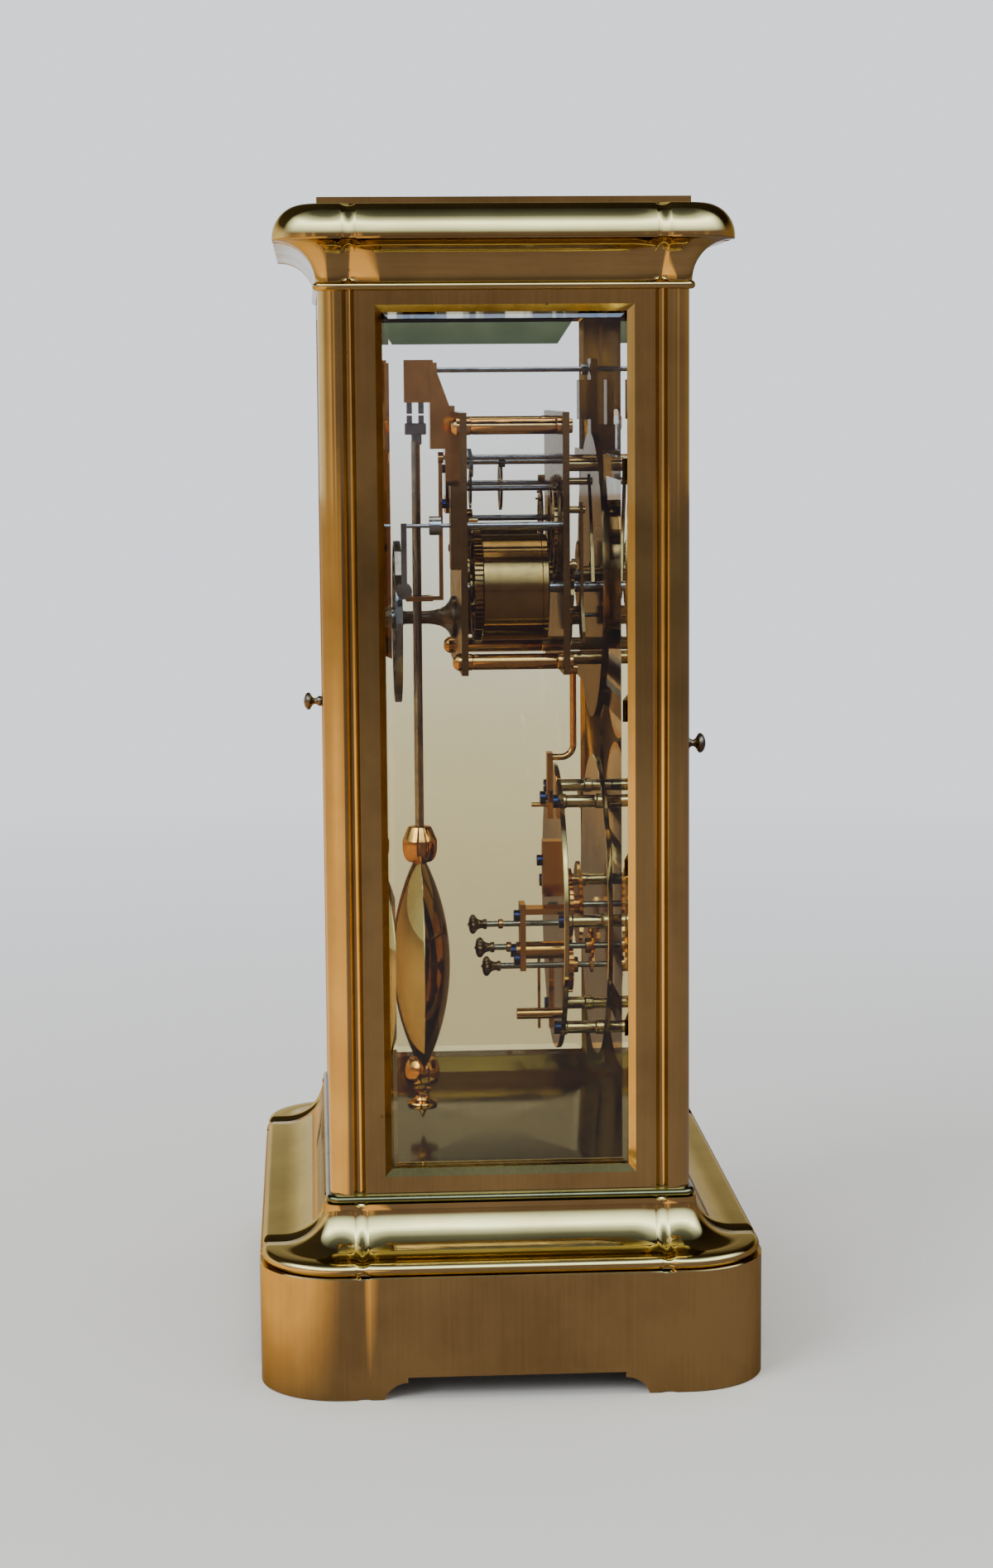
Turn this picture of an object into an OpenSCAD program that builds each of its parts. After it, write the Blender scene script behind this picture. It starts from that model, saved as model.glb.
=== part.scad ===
// Regulator clock: brass four-glass case, striking movement, calendar work and pendulum.
// Millimetres, +Z up, origin at the middle of the plinth's underside, dials facing -Y.

/* [Plinth] */
// Half of the plinth's width, across the dial side
plinth_hx = 131.8; // [130:0.1:134]
// Half of the plinth's depth, front to back
plinth_hy = 93.5; // [92:0.1:96]
// Height of the plinth
plinth_h = 45.5; // [44:0.1:47]
// Wall of the hollow plinth
plinth_wall = 6; // [4:0.1:8]
// Height of the flat part of the apron opening
apron_h = 8.1; // [6.5:0.1:9]
// Radius of the cove at each end of the apron opening
apron_cove = 9.2; // [7:0.1:10]
// Half length of the flat part of the apron opening on the glass sides
apron_half = 39.8; // [36:0.1:44]

/* [Mouldings] */
// Radius of the cove of the base moulding
base_cove = 16.2; // [14:0.1:17]
// Thickness of the lip under that cove
base_lip = 4.6; // [3.6:0.1:5.2]
// Radius of the cove under the top lip
frieze_cove = 14.5; // [12:0.1:15]
// Radius of the rounded edge above the top lip
ovolo_r = 11.7; // [10:0.1:13]
// Depth that the ribbon bands are sunk
band_depth = 0.9; // [0.5:0.1:1.4]
// Width of the ribbon bands
band_w = 5.6; // [4:0.1:6]
// Thickness of the two astragal plates
astragal_t = 3; // [2.6:0.1:3.6]
// Thickness of the top plate
top_t = 2.5; // [2:0.1:3.5]

/* [Case] */
// Half width of the case over the corner columns
case_hx = 104.8; // [103:0.1:106]
// Half depth of the case over the corner columns
case_hy = 67; // [66.5:0.1:67.8]
// Height of the columns between the astragals
column_h = 330; // [326:0.5:336]
// Radius of the round corner of a column
column_r = 7.5; // [7:0.1:7.7]
// Width of the hollow flute beside the column
flute_w = 4.4; // [3.6:0.1:4.6]
// Depth of that flute
flute_d = 1.7; // [1.2:0.1:2]
// Width of the fillet between the flute and the frame
fillet_w = 0.6; // [0.4:0.1:0.9]
// Width of a side frame's stiles
side_stile = 9.3; // [8.6:0.1:13]
// Thickness of the glass
glass_t = 3; // [2:0.1:3.6]
// Width of the bevel round each glass
bevel_w = 4.5; // [3:0.1:6]

/* [Doors] */
// Thickness of a door frame
door_t = 6; // [5:0.1:6.4]
// Width of a door stile
stile_w = 9.5; // [8:0.1:11]
// Height of a door rail
rail_h = 8.5; // [7:0.1:11]
// Gap all round a door
door_gap = 0.5; // [0.45:0.05:0.7]
// Height of the door knobs above the table
knob_z = 233.4; // [200:0.1:260]

/* [Movement] */
// Half width of the movement plates
plate_hw = 46; // [44:0.1:48]
// Thickness of the movement plates
plate_t = 2.6; // [2:0.1:3]
// Distance between the movement plates
plate_gap = 36.3; // [36.2:0.05:36.4]
// Radius of the plate pillars
pillar_r = 3.2; // [2.6:0.1:3.8]
// Radius of the barrel drums
drum_r = 20.4; // [19:0.1:20.6]
// Gear module of the barrel wheels
barrel_m = 0.65; // [0.65:0.01:0.66]
// Radius of the gong's outer turn
gong_r = 35.3; // [32:0.1:36]
// Turns of the gong
gong_turns = 5; // [4:1:6]
// Width of the gong's steel strip
gong_w = 2.2; // [1.6:0.1:2.6]
// Running clearance on the radius of every arbor
run_gap = 0.05; // [0.03:0.01:0.08]

/* [Dials] */
// Distance of the dials behind the front of the case
dial_behind = 15.4; // [15:0.1:17]
// Radius of the time dial
dial_r = 62.5; // [60:0.1:63]
// Height of the time dial's middle
dial_z = 291; // [290.9:0.05:291.1]
// Height of the calendar dial's middle
cal_z = 159; // [158:0.1:159.5]
// Width of the bezel outside each dial
bezel_w = 2.4; // [1.6:0.1:2.8]
// Thickness of the dials
dial_t = 1.6; // [1.2:0.1:2]
// Radius of the calendar's back plate
cal_back_r = 57; // [55:0.1:58]
// Radius of the calendar's front plate
cal_front_r = 60; // [58:0.1:61]

/* [Pendulum] */
// Distance of the pendulum from the middle of the case, towards the back
pend_y = 29; // [28.8:0.05:29.2]
// Height of the bending line of the suspension spring
pend_pivot_z = 354; // [353:0.1:355]
// Radius of the pendulum rod
rod_r = 1.75; // [1.4:0.05:1.9]
// Radius of the bob
bob_r = 44.8; // [42:0.1:46]
// Half thickness of the bob at its middle
bob_half = 11.5; // [10:0.1:12.5]
// Height of the bob's middle
bob_z = 137.2; // [136:0.1:138.5]
// Radius of the collars above and below the bob
collar_r = 6.9; // [6:0.1:7.4]

/* [Hidden] */
$fn = 48;
eps = 0.01;
corner_r = 30;
cx = plinth_hx - corner_r;
cy = plinth_hy - corner_r;
base_top = plinth_h + base_lip + base_cove;
floor_z = base_top + astragal_t;
head_z = floor_z + column_h;
frieze_z = head_z + astragal_t;
lip_z = frieze_z + frieze_cove;
lip_t = 1.1;
cushion_z = lip_z + lip_t + ovolo_r;
top_z = cushion_z + top_t;
astragal_over = 1.6;
band_x = 94;
band_y = 55.7;
frieze_r0 = case_hy - cy + 0.5;
base_r0 = case_hy - cy + 2;
base_hollow = 6;

// corner posts
column_in = 1.2;
post_w = column_r + column_in + flute_w + fillet_w;
post_in_x = case_hx - post_w;
post_in_y = case_hy - post_w;
post_face = 0.3;
glass_half = post_in_y - side_stile;
head_x = case_hx - 16.8;
head_y = case_hy - 17;
glass_seat = 4;
side_t = 6;
side_out = case_hx - 1;
side_in = side_out - side_t;
side_z0 = floor_z + 8.9;
side_z1 = head_z - 7.6;
chamfer = 2.5;
rebate = 2.2;

// doors
door_x = post_in_x - door_gap;
door_y = case_hy - post_face;
door_z0 = floor_z + door_gap;
door_z1 = head_z - door_gap;
hinge_in = 1;
hinge_x = door_x - hinge_in;
hinge_y = door_y - hinge_in;
pin_r = 0.7;
knob_x = door_x - 5;

// movement
back_y = 13.8;
back_in = back_y - plate_t;
front_in = back_in - plate_gap;
front_y = front_in - plate_t;
plate_z0 = 255.7;
plate_z1 = 355.3;
pillar_x = 40;
pillar_zs = [260.5, 350];
barrel_x = 24.6;
barrel_z = 288;
inter = [-14, 310.3];
centre = [0, dial_z];
third = [8, 310];
escape = [2.5, 325.4];
pallet_z = 337.5;
rating_z = 371.5;
cock_y = 20.6;
cock_z = 341;
strike = [26, 312.65];
warn = [22, 326.6];
fan = [13.5, 335.3];
minute_z = 275;
false_y = -39.4;
false_t = 2.6;
dial_back = -50;
dial_front = dial_back - dial_t;
fit_y = dial_behind - case_hy - dial_front;
drum_out = 29.4;
arbor_r = 1.2;
pivot_r = 0.8;
wind_r = 2.2;
bore = run_gap;

// gong and hammer
gong_x = 14;
gong_z = 273.8;
gong_y = 37.8;
gong_t = 2.6;
hammer_x = -36;
hammer_z = 312.5;

// calendar work
sub_x = 26;
sub_z = cal_z - 12;
set_z = cal_z - 24.5;
trip_x = -12;
cal_back_y = -24;
cal_back_t = 2;
cal_front_y = -40.5;
cal_front_t = 2;
cal_pillars = [[-24, 45], [24, 45], [-50, 2], [50, 2], [-24, -45], [24, -45]];

// colours by finish
brass = [0.80, 0.64, 0.30];
gilt = [0.86, 0.62, 0.26];
olive = [0.66, 0.56, 0.26];
steel = [0.62, 0.62, 0.60];
blued = [0.14, 0.19, 0.42];
bronze = [0.33, 0.24, 0.16];
glassy = [0.80, 0.92, 0.88, 0.35];
white = [0.95, 0.95, 0.92];

// Shared shapes

// A profile carried round the rectangle of corner centres, filled in the middle
module run_round(z0, z1) {
  for (c = [[1, 1, 0], [-1, 1, 90], [-1, -1, 180], [1, -1, 270]])
    translate([c[0] * cx, c[1] * cy, 0]) rotate([0, 0, c[2]])
      rotate_extrude(angle = 90) children();
  for (s = [0, 180]) {
    rotate([0, 0, s]) translate([cx, cy, 0]) rotate([90, 0, 0])
      linear_extrude(2 * cy) children();
    rotate([0, 0, s + 90]) translate([cy, cx, 0]) rotate([90, 0, 0])
      linear_extrude(2 * cx) children();
  }
  translate([-cx, -cy, z0]) cube([2 * cx, 2 * cy, z1 - z0]);
}

// What a sunk band takes away: all that lies outside the given profile, on all eight places
module bands(z0, z1) {
  for (s = [0, 180], e = [-1, 1]) {
    rotate([0, 0, s]) translate([cx, e * band_y + band_w / 2, 0]) rotate([90, 0, 0])
      linear_extrude(band_w) band_outside(z0, z1) children();
    rotate([0, 0, s + 90]) translate([cy, e * band_x + band_w / 2, 0]) rotate([90, 0, 0])
      linear_extrude(band_w) band_outside(z0, z1) children();
  }
}

module band_outside(z0, z1) {
  difference() {
    translate([1, z0 - 1]) square([corner_r + 4, z1 - z0 + 2]);
    children();
  }
}

module base_profile(in = 0) {
  run = base_r0 - in;
  translate([0, plinth_h - 2 * in]) square([corner_r - 0.9 - base_lip / 2 - in, base_lip + in]);
  translate([corner_r - 0.9 - base_lip / 2 - in, plinth_h + base_lip / 2 - in])
    circle(base_lip / 2);
  translate([0, plinth_h]) square([run, base_top - plinth_h + 2 * in]);
  difference() {
    translate([0, plinth_h + base_lip - in - eps])
      square([base_r0 + base_cove - eps, base_cove + in]);
    translate([base_r0 + base_cove, base_top]) circle(base_cove + in);
  }
}

module cornice_profile(in = 0) {
  lip_r = frieze_r0 + frieze_cove + 0.8 - in;
  translate([0, frieze_z - 2 * in]) square([frieze_r0 - in, cushion_z - frieze_z + in]);
  difference() {
    translate([0, frieze_z - 2 * in])
      square([frieze_r0 + frieze_cove - eps, frieze_cove + 2 * in]);
    translate([frieze_r0 + frieze_cove, frieze_z]) circle(frieze_cove + in);
  }
  translate([0, lip_z - eps]) square([lip_r, lip_t + 2 * eps]);
  translate([0, lip_z + lip_t]) square([lip_r - ovolo_r, ovolo_r - in]);
  intersection() {
    translate([lip_r - ovolo_r, lip_z + lip_t - in]) circle(ovolo_r);
    translate([0, lip_z + lip_t]) square([lip_r + 1, ovolo_r]);
  }
}

module astragal_profile(z) {
  r = case_hy - cy + astragal_over - astragal_t / 2;
  translate([0, z]) square([r, astragal_t]);
  translate([r, z + astragal_t / 2]) circle(astragal_t / 2);
}

module corner_block(hx, hy, r, h) {
  linear_extrude(h) union() {
    square([2 * (hx - r), 2 * hy], center = true);
    square([2 * hx, 2 * (hy - r)], center = true);
    for (sx = [-1, 1], sy = [-1, 1])
      translate([sx * (hx - r), sy * (hy - r)]) circle(r);
  }
}

// Keeps the movement, pendulum and calendar at their distance behind the front of the case
module in_case() translate([0, fit_y, 0]) children();

// A rod along Y from y0 at the back to y1 at the front
module rod_y(x, z, y0, y1, r) {
  translate([x, y0, z]) rotate([90, 0, 0]) cylinder(h = y0 - y1, r = r);
}

// A flat piece drawn in X and Z, from y0 at the back to y1 at the front
module sheet_y(y0, y1) {
  translate([0, y0, 0]) rotate([90, 0, 0]) linear_extrude(y0 - y1) children();
}

// Teeth with radial flanks below the pitch line and narrowed tips above it
function tooth_points(n, m, tip, root) =
  let (rp = n * m / 2, half = 360 / n * 0.215)
  [for (i = [0 : n - 1]) for (k = [0 : 3])
    let (a = 360 * i / n + [-1.15, -0.42, 0.42, 1.15][k] * half,
         r = rp + [-root, tip, tip, -root][k] * m)
    [r * cos(a), r * sin(a)]];

// A gear drawn flat, one tooth along the angle phase
module gear_flat(n, m, phase, tip = 0.95, root = 1.25) {
  rotate(phase) polygon(tooth_points(n, m, tip, root));
}

// Windows between the spokes of a wheel
module crossings(r0, r1, spokes, w) {
  difference() {
    circle(r1, $fn = 24);
    circle(r0, $fn = 24);
    for (i = [0 : spokes - 1]) rotate(360 * i / spokes) translate([0, -w / 2]) square([r1 + 1, w]);
  }
}

// The gap of a gear faces the angle a
function gap_at(a, n) = a + 180 / n;

// A bevelled pane, w by h, lying in X and Y with its bevelled face up
module pane(w, h) {
  lip = glass_t * 0.45;
  module side(half) {
    polygon([[-half, 0], [half, 0], [half, lip], [half - bevel_w, glass_t],
             [bevel_w - half, glass_t], [-half, lip]]);
  }
  intersection() {
    translate([0, h / 2, 0]) rotate([90, 0, 0]) linear_extrude(h) side(w / 2);
    rotate([0, 0, 90]) translate([0, w / 2, 0]) rotate([90, 0, 0]) linear_extrude(w) side(h / 2);
  }
}

// An opening w by h that widens towards +Z by the chamfer, through thickness t
module opening(w, h, t) {
  module side(half) {
    polygon([[-half, -1], [half, -1], [half, t - chamfer], [half + chamfer, t],
             [half + chamfer, t + 1], [-half - chamfer, t + 1], [-half - chamfer, t],
             [-half, t - chamfer]]);
  }
  intersection() {
    translate([0, h / 2 + 5, 0]) rotate([90, 0, 0]) linear_extrude(h + 10) side(w / 2);
    rotate([0, 0, 90]) translate([0, w / 2 + 5, 0]) rotate([90, 0, 0])
      linear_extrude(w + 10) side(h / 2);
  }
}

// A mushroom knob standing on z = 0
module knob_turned(scale_r) {
  rotate_extrude() {
    square([1.3 * scale_r, 6.2]);
    square([2.2 * scale_r, 0.8]);
    translate([0, 3.4]) polygon([[0, 0], [1.3 * scale_r, 0], [3.2 * scale_r, 1.6],
      [3.7 * scale_r, 2.3], [3.7 * scale_r, 3.1], [2.9 * scale_r, 3.9], [1.2 * scale_r, 4.4],
      [0, 4.5]]);
  }
}

// A setting knob along Y, its conical stem towards the front
module setting_knob(x, z, y) {
  translate([x, y, z]) rotate([90, 0, 0]) rotate_extrude()
    polygon([[0, 0], [2.3, 0.3], [3.9, 1.6], [4.1, 2.6], [3.4, 3.4], [1.9, 4.1], [1.4, 5.2],
             [1.6, 6.2], [2.1, 7.2], [2.1, 7.9], [0, 7.9]]);
}

// Case

module apron(half) {
  square([2 * half, 2 * apron_h], center = true);
  for (s = [-1, 1]) translate([s * half, -apron_cove / 3]) circle(apron_cove);
}

module plinth() {
  color(brass) difference() {
    corner_block(plinth_hx, plinth_hy, corner_r, plinth_h);
    translate([0, 0, -1])
      corner_block(plinth_hx - plinth_wall, plinth_hy - plinth_wall,
                   corner_r - plinth_wall, plinth_h - plinth_wall + 1);
    rotate([90, 0, 0]) linear_extrude(4 * plinth_hx, center = true)
      apron(apron_half + plinth_hx - plinth_hy);
    rotate([90, 0, 90]) linear_extrude(4 * plinth_hx, center = true) apron(apron_half);
    for (s = [-1, 1], e = [-1, 1]) {
      flute = (band_w * band_w / 4 + band_depth * band_depth) / (2 * band_depth);
      translate([s * (plinth_hx + flute - band_depth), e * band_y, -1])
        cylinder(h = plinth_h + 2, r = flute);
      translate([e * band_x, s * (plinth_hy + flute - band_depth), -1])
        cylinder(h = plinth_h + 2, r = flute);
    }
  }
}

module base_moulding() {
  color(brass) difference() {
    run_round(plinth_h, base_top) base_profile();
    bands(plinth_h, base_top) base_profile(band_depth);
    translate([base_hollow - cx, base_hollow - cy, plinth_h - 1])
      cube([2 * (cx - base_hollow), 2 * (cy - base_hollow), base_top - plinth_h + 2]);
  }
}

module floor_plate() {
  color(olive) difference() {
    run_round(base_top, floor_z) astragal_profile(base_top);
    for (s = [-1, 1]) translate([s * hinge_x, -s * hinge_y, floor_z - 2.2])
      cylinder(h = 3, r = pin_r + run_gap);
  }
}

module flute_flat() {
  r = (flute_w * flute_w / 4 + flute_d * flute_d) / (2 * flute_d);
  translate([post_in_x + fillet_w + flute_w / 2, case_hy - post_face - flute_d + r]) circle(r);
}

module post_flat() {
  difference() {
    translate([post_in_x, post_in_y]) square(post_w - post_face);
    translate([case_hx - column_r, case_hy - column_r]) square(column_r + 1);
    flute_flat();
    translate([case_hx, case_hy]) mirror([1, -1]) translate([-case_hx, -case_hy]) flute_flat();
  }
  intersection() {
    translate([case_hx - column_r, case_hy - column_r]) circle(column_r);
    translate([case_hx - column_r - column_in, case_hy - column_r - column_in])
      square(column_r + column_in + 1);
  }
}

module corner_posts() {
  color(brass) for (c = [[0, 0], [1, 0], [0, 1], [1, 1]])
    mirror([c[0], 0, 0]) mirror([0, c[1], 0])
      translate([0, 0, floor_z]) linear_extrude(column_h) post_flat();
}

// A side frame on the +X side: slab with a chamfered opening and a rebate for the glass
module side_frame() {
  mid = (side_z0 + side_z1) / 2;
  high = side_z1 - side_z0;
  difference() {
    translate([side_in, -post_in_y, floor_z]) cube([side_t, 2 * post_in_y, column_h]);
    translate([side_in, 0, mid]) rotate([90, 0, 90]) opening(2 * glass_half, high, side_t);
    translate([side_in - 1, -glass_half - rebate, side_z0 - rebate])
      cube([1 + glass_t, 2 * (glass_half + rebate), high + 2 * rebate]);
  }
}

module side_frame_left() color(brass) mirror([1, 0, 0]) side_frame();
module side_frame_right() color(brass) side_frame();

module side_glass() {
  translate([side_in, 0, (side_z0 + side_z1) / 2]) rotate([90, 0, 90])
    pane(2 * (glass_half + rebate), side_z1 - side_z0 + 2 * rebate);
}

module side_glass_left() color(glassy) mirror([1, 0, 0]) side_glass();
module side_glass_right() color(glassy) side_glass();

module head_hole(z0, z1) {
  translate([-head_x, -head_y, z0 - 1]) cube([2 * head_x, 2 * head_y, z1 - z0 + 2]);
}

module upper_astragal() {
  color(brass) difference() {
    run_round(head_z, frieze_z) astragal_profile(head_z);
    head_hole(head_z, frieze_z);
    for (s = [-1, 1]) translate([s * hinge_x, -s * hinge_y, head_z - 0.8])
      cylinder(h = 3, r = pin_r + run_gap);
  }
}

module cornice() {
  color(brass) difference() {
    run_round(frieze_z, cushion_z) cornice_profile();
    bands(frieze_z, cushion_z) cornice_profile(band_depth);
    head_hole(frieze_z, cushion_z);
  }
}

module top_plate() {
  color(brass) difference() {
    translate([-case_hx + 0.8, -case_hy + 0.2, cushion_z])
      cube([2 * case_hx - 1.6, 2 * case_hy - 0.4, top_t]);
    translate([0, 0, cushion_z - side_t + top_t]) 
      opening(2 * (head_x - 2 * glass_seat), 2 * (head_y - 2 * glass_seat), side_t);
  }
}

module top_glass() {
  color(glassy) translate([0, 0, cushion_z - glass_t]) 
    pane(2 * (head_x - glass_seat), 2 * (head_y - glass_seat));
}

// Doors

// A door facing -Y with its hinge on the +X side
module door_frame() {
  mid = (door_z0 + door_z1) / 2;
  high = door_z1 - door_z0 - 2 * rail_h;
  open_w = 2 * (door_x - stile_w);
  difference() {
    translate([0, 0, door_z0]) linear_extrude(door_z1 - door_z0) union() {
      translate([-door_x, -door_y]) square([2 * door_x - hinge_in, door_t]);
      translate([-door_x, -hinge_y]) square([2 * door_x, door_t - hinge_in]);
      translate([hinge_x, -hinge_y]) circle(hinge_in);
    }
    translate([0, -door_y + door_t, mid]) rotate([90, 0, 0]) opening(open_w, high, door_t);
    translate([-open_w / 2 - rebate, -door_y + door_t - glass_t, mid - high / 2 - rebate])
      cube([open_w + 2 * rebate, glass_t + 1, high + 2 * rebate]);
  }
  for (z = [door_z0 - 2, door_z1 - 1]) translate([hinge_x, -hinge_y, z])
    cylinder(h = 3 - door_gap, r = pin_r);
}

module door_glass() {
  high = door_z1 - door_z0 - 2 * rail_h;
  translate([0, -door_y + door_t, (door_z0 + door_z1) / 2]) rotate([90, 0, 0])
    pane(2 * (door_x - stile_w + rebate), high + 2 * rebate);
}

module door_knob() {
  translate([-knob_x, -door_y, knob_z]) rotate([90, 0, 0]) knob_turned(1);
}

module front_door_frame() color(brass) door_frame();
module front_door_glass() color(glassy) door_glass();
module front_door_knob() color(bronze) door_knob();
module back_door_frame() color(brass) rotate([0, 0, 180]) door_frame();
module back_door_glass() color(glassy) rotate([0, 0, 180]) door_glass();
module back_door_knob() color(bronze) rotate([0, 0, 180]) door_knob();

// Movement frame

// Bores for the arbors that reach the back plate or the front plate
module arbor_bores(front) {
  for (s = [-1, 1]) translate([s * barrel_x, barrel_z]) circle(wind_r + bore);
  translate([0, dial_z]) circle((front ? arbor_r : pivot_r) + bore);
  for (p = [inter, strike, third, escape, warn, fan])
    translate(p) circle(pivot_r + bore, $fn = 24);
  translate([0, pallet_z]) circle(front ? pivot_r + bore : 3);
  translate([hammer_x, hammer_z]) circle((front ? pivot_r : arbor_r) + bore, $fn = 24);
}

module movement_plate(y, front) {
  sheet_y(y + plate_t, y) difference() {
    translate([-plate_hw, plate_z0]) square([2 * plate_hw, plate_z1 - plate_z0]);
    arbor_bores(front);
    for (s = [-1, 1], z = pillar_zs) translate([s * pillar_x, z]) circle(2, $fn = 24);
  }
}

module back_plate() in_case() color(brass) {
  movement_plate(back_in, false);
  difference() {
    translate([hammer_x - 8, back_y, hammer_z - 16.5]) cube([14, 3.6, 31.6]);
    rod_y(hammer_x, hammer_z, back_y + 5, back_y - 1, arbor_r + bore);
  }
}

module front_plate() in_case() color(brass) {
  difference() {
    movement_plate(front_y, true);
    rod_y(0, minute_z, front_y + 1.5, front_y - 1, pivot_r + bore);
  }
  clicks();
  rack_levers();
}

// The two clicks that hold the barrel ratchets
module clicks() {
  for (s = [-1, 1]) translate([s * (barrel_x + 11.4), 0, barrel_z + 9]) {
    rod_y(0, 0, front_y, front_y - 3.4, 1.4);
    sheet_y(front_y - 1.4, front_y - 2.8) union() {
      circle(2.4);
      polygon([[-s * 1, 2.2], [-s * 4.2, -3.2], [-s * 3, -4], [s * 1.8, -1.2]]);
    }
  }
}

// The striking rack and its lever, on studs in front of the plate
module rack_levers() {
  rod_y(-34, 318, front_y, front_y - 6.8, 1.4);
  sheet_y(front_y - 4.7, front_y - 5.9)
    polygon([[-36, 321], [-32, 321], [-33.5, 300], [-30, 272], [-44, 268], [-45, 272],
             [-37, 285], [-37.5, 300]]);
  rod_y(-26.5, 328.6, front_y, front_y - 10.4, 1.4);
  sheet_y(front_y - 8.3, front_y - 9.5)
    polygon([[-28, 331.4], [-24.4, 330.6], [-35, 308], [-41.6, 290], [-44.5, 291], [-40, 309]]);
}

module movement_pillars() in_case() {
  color(gilt) for (s = [-1, 1], z = pillar_zs) {
    rod_y(s * pillar_x, z, back_in, front_in, pillar_r);
    rod_y(s * pillar_x, z, back_y, front_y, 2);
    translate([s * pillar_x, back_y, z]) rotate([-90, 0, 0]) rotate_extrude()
      polygon([[0, 0], [3.4, 0], [3.4, 1.4], [2.4, 2.8], [0, 3.2]]);
    rod_y(s * pillar_x, z, front_y, front_y - 1.6, 2.8);
  }
}

// The cock that carries the suspension, with the pallet cock below it
module suspension_cock() in_case() {
  color(gilt) difference() {
    union() {
      translate([-7, cock_y, cock_z]) cube([14, 2.9, 33.4]);
      translate([-7, back_y, cock_z]) cube([14, cock_y - back_y, 16.7]);
      translate([-2, cock_y, cock_z + 16.6]) rotate([90, 0, 90])
        linear_extrude(4) polygon([[0, 0], [-5, 0], [0, 13.7]]);
      for (x = [-4, 0.8]) translate([x, cock_y + 1.4, 359]) cube([3.2, 11.4, 16.5]);
      translate([-9, back_y, 316]) cube([18, 4, 30]);
    }
    rod_y(0, pallet_z, 30, 0, arbor_r + bore);
    rod_y(0, rating_z, 22.6, 19, 1 + bore);
  }
}

module suspension_spring() in_case() {
  color(steel) union() {
    translate([-0.8, pend_y - 4, pend_pivot_z + 9]) cube([1.6, 8, 10]);
    translate([-0.1, pend_y - 3.4, pend_pivot_z + 0.6]) cube([0.2, 2.2, 9]);
    translate([-0.1, pend_y + 1.2, pend_pivot_z + 0.6]) cube([0.2, 2.2, 9]);
  }
}

module gong_post() in_case() {
  color(bronze) translate([gong_x, back_y, gong_z]) rotate([-90, 0, 0]) rotate_extrude()
    polygon([[0, 0], [8.5, 0], [8.5, 1.4], [5.4, 2.6], [3.4, 5], [2.6, 9], [2.6, 20.2],
             [3.6, 20.6], [3.6, gong_y - gong_t - back_y], [0, gong_y - gong_t - back_y]]);
}

function spiral_r(t) = 4 + (gong_r - gong_w / 2 - 4) * t;

module gong_coil() in_case() {
  steps = 30 * gong_turns;
  side = function (off) [for (i = [0 : steps])
    let (t = i / steps, a = 360 * gong_turns * t, r = spiral_r(t) + off)
    [r * cos(a), r * sin(a)]];
  outer = side(gong_w / 2);
  inner = side(-gong_w / 2);
  color(steel) translate([gong_x, 0, gong_z]) {
    sheet_y(gong_y, gong_y - gong_t)
      polygon(concat(outer, [for (i = [steps : -1 : 0]) inner[i]]));
    rod_y(0, 0, gong_y + 1, gong_y - gong_t, 4.2);
  }
}

// Dials and what carries them

module false_plate() in_case() {
  color(brass) {
    sheet_y(false_y, false_y - false_t) difference() {
      union() {
        translate([0, dial_z]) circle(56);
        translate([-7, dial_z + 40]) square([14, rating_z + 4 - dial_z - 40]);
      }
      translate([0, rating_z]) circle(1 + bore, $fn = 24);
      translate([0, dial_z]) circle(5.2);
      for (s = [-1, 1]) translate([s * barrel_x, barrel_z]) circle(wind_r + 1);
      translate([0, minute_z]) circle(pivot_r + bore, $fn = 24);
    }
    for (s = [-1, 1], p = [[32, -30], [28, 44]])
      rod_y(s * p[0], dial_z + p[1], front_y, false_y, 2.6);
    for (q = [[9, dial_z + 49, 10, -42, 6.8], [6, dial_z + 58.8, 17.6, -45.8, 2.7],
              [6, dial_z + 61, 15.4, false_y + 4.4, 4.4]])
      translate([-q[0], q[3] - q[4], q[1]]) cube([2 * q[0], q[4], q[2]]);
    sheet_y(false_y - false_t, dial_back) difference() {
      translate([0, dial_z]) circle(drum_out);
      translate([0, dial_z]) circle(drum_out - 1.2);
    }
  }
}

module dial_bars() in_case() {
  color(brass) for (z = [dial_z + 44, dial_z - 44]) difference() {
    translate([-side_in, false_y - false_t - 3, z - 4]) cube([2 * side_in, 3, 8]);
    rod_y(0, dial_z, 0, -60, 8);
  }
  color(brass) for (z = [cal_z + 30, cal_z - 30])
    translate([-side_in, cal_front_y - cal_front_t - 3, z - 3]) cube([2 * side_in, 3, 6]);
}

module time_dial() in_case() {
  color(white) sheet_y(dial_back, dial_front) difference() {
    translate([0, dial_z]) circle(dial_r, $fn = 96);
    translate([0, dial_z]) circle(5.2);
    for (s = [-1, 1]) translate([s * barrel_x, barrel_z]) circle(wind_r + 1);
    translate([0, dial_z + 40]) circle(1.6, $fn = 24);
  }
}

module bezel(z) {
  translate([0, dial_back, z]) rotate([90, 0, 0]) rotate_extrude($fn = 72)
    polygon([[dial_r, 0], [dial_r + bezel_w, 0], [dial_r + bezel_w, 2.4],
             [dial_r + bezel_w - 0.8, 3.4], [dial_r + 0.4, 3.4], [dial_r, 2.4]]);
}

module dial_bezels() in_case() color(gilt) { bezel(dial_z); bezel(cal_z); }

// Calendar work

module cal_bores(r) {
  for (s = [-1, 1]) translate([s * sub_x, sub_z]) circle(r);
  translate([0, set_z]) circle(r);
  translate([0, cal_z]) circle(r);
}

module cal_plate(y, t, r) {
  sheet_y(y, y - t) difference() {
    translate([0, cal_z]) circle(r, $fn = 96);
    cal_bores(arbor_r + bore);
    for (p = cal_pillars) translate([p[0], cal_z + p[1]]) circle(1.6, $fn = 24);
  }
}

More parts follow.
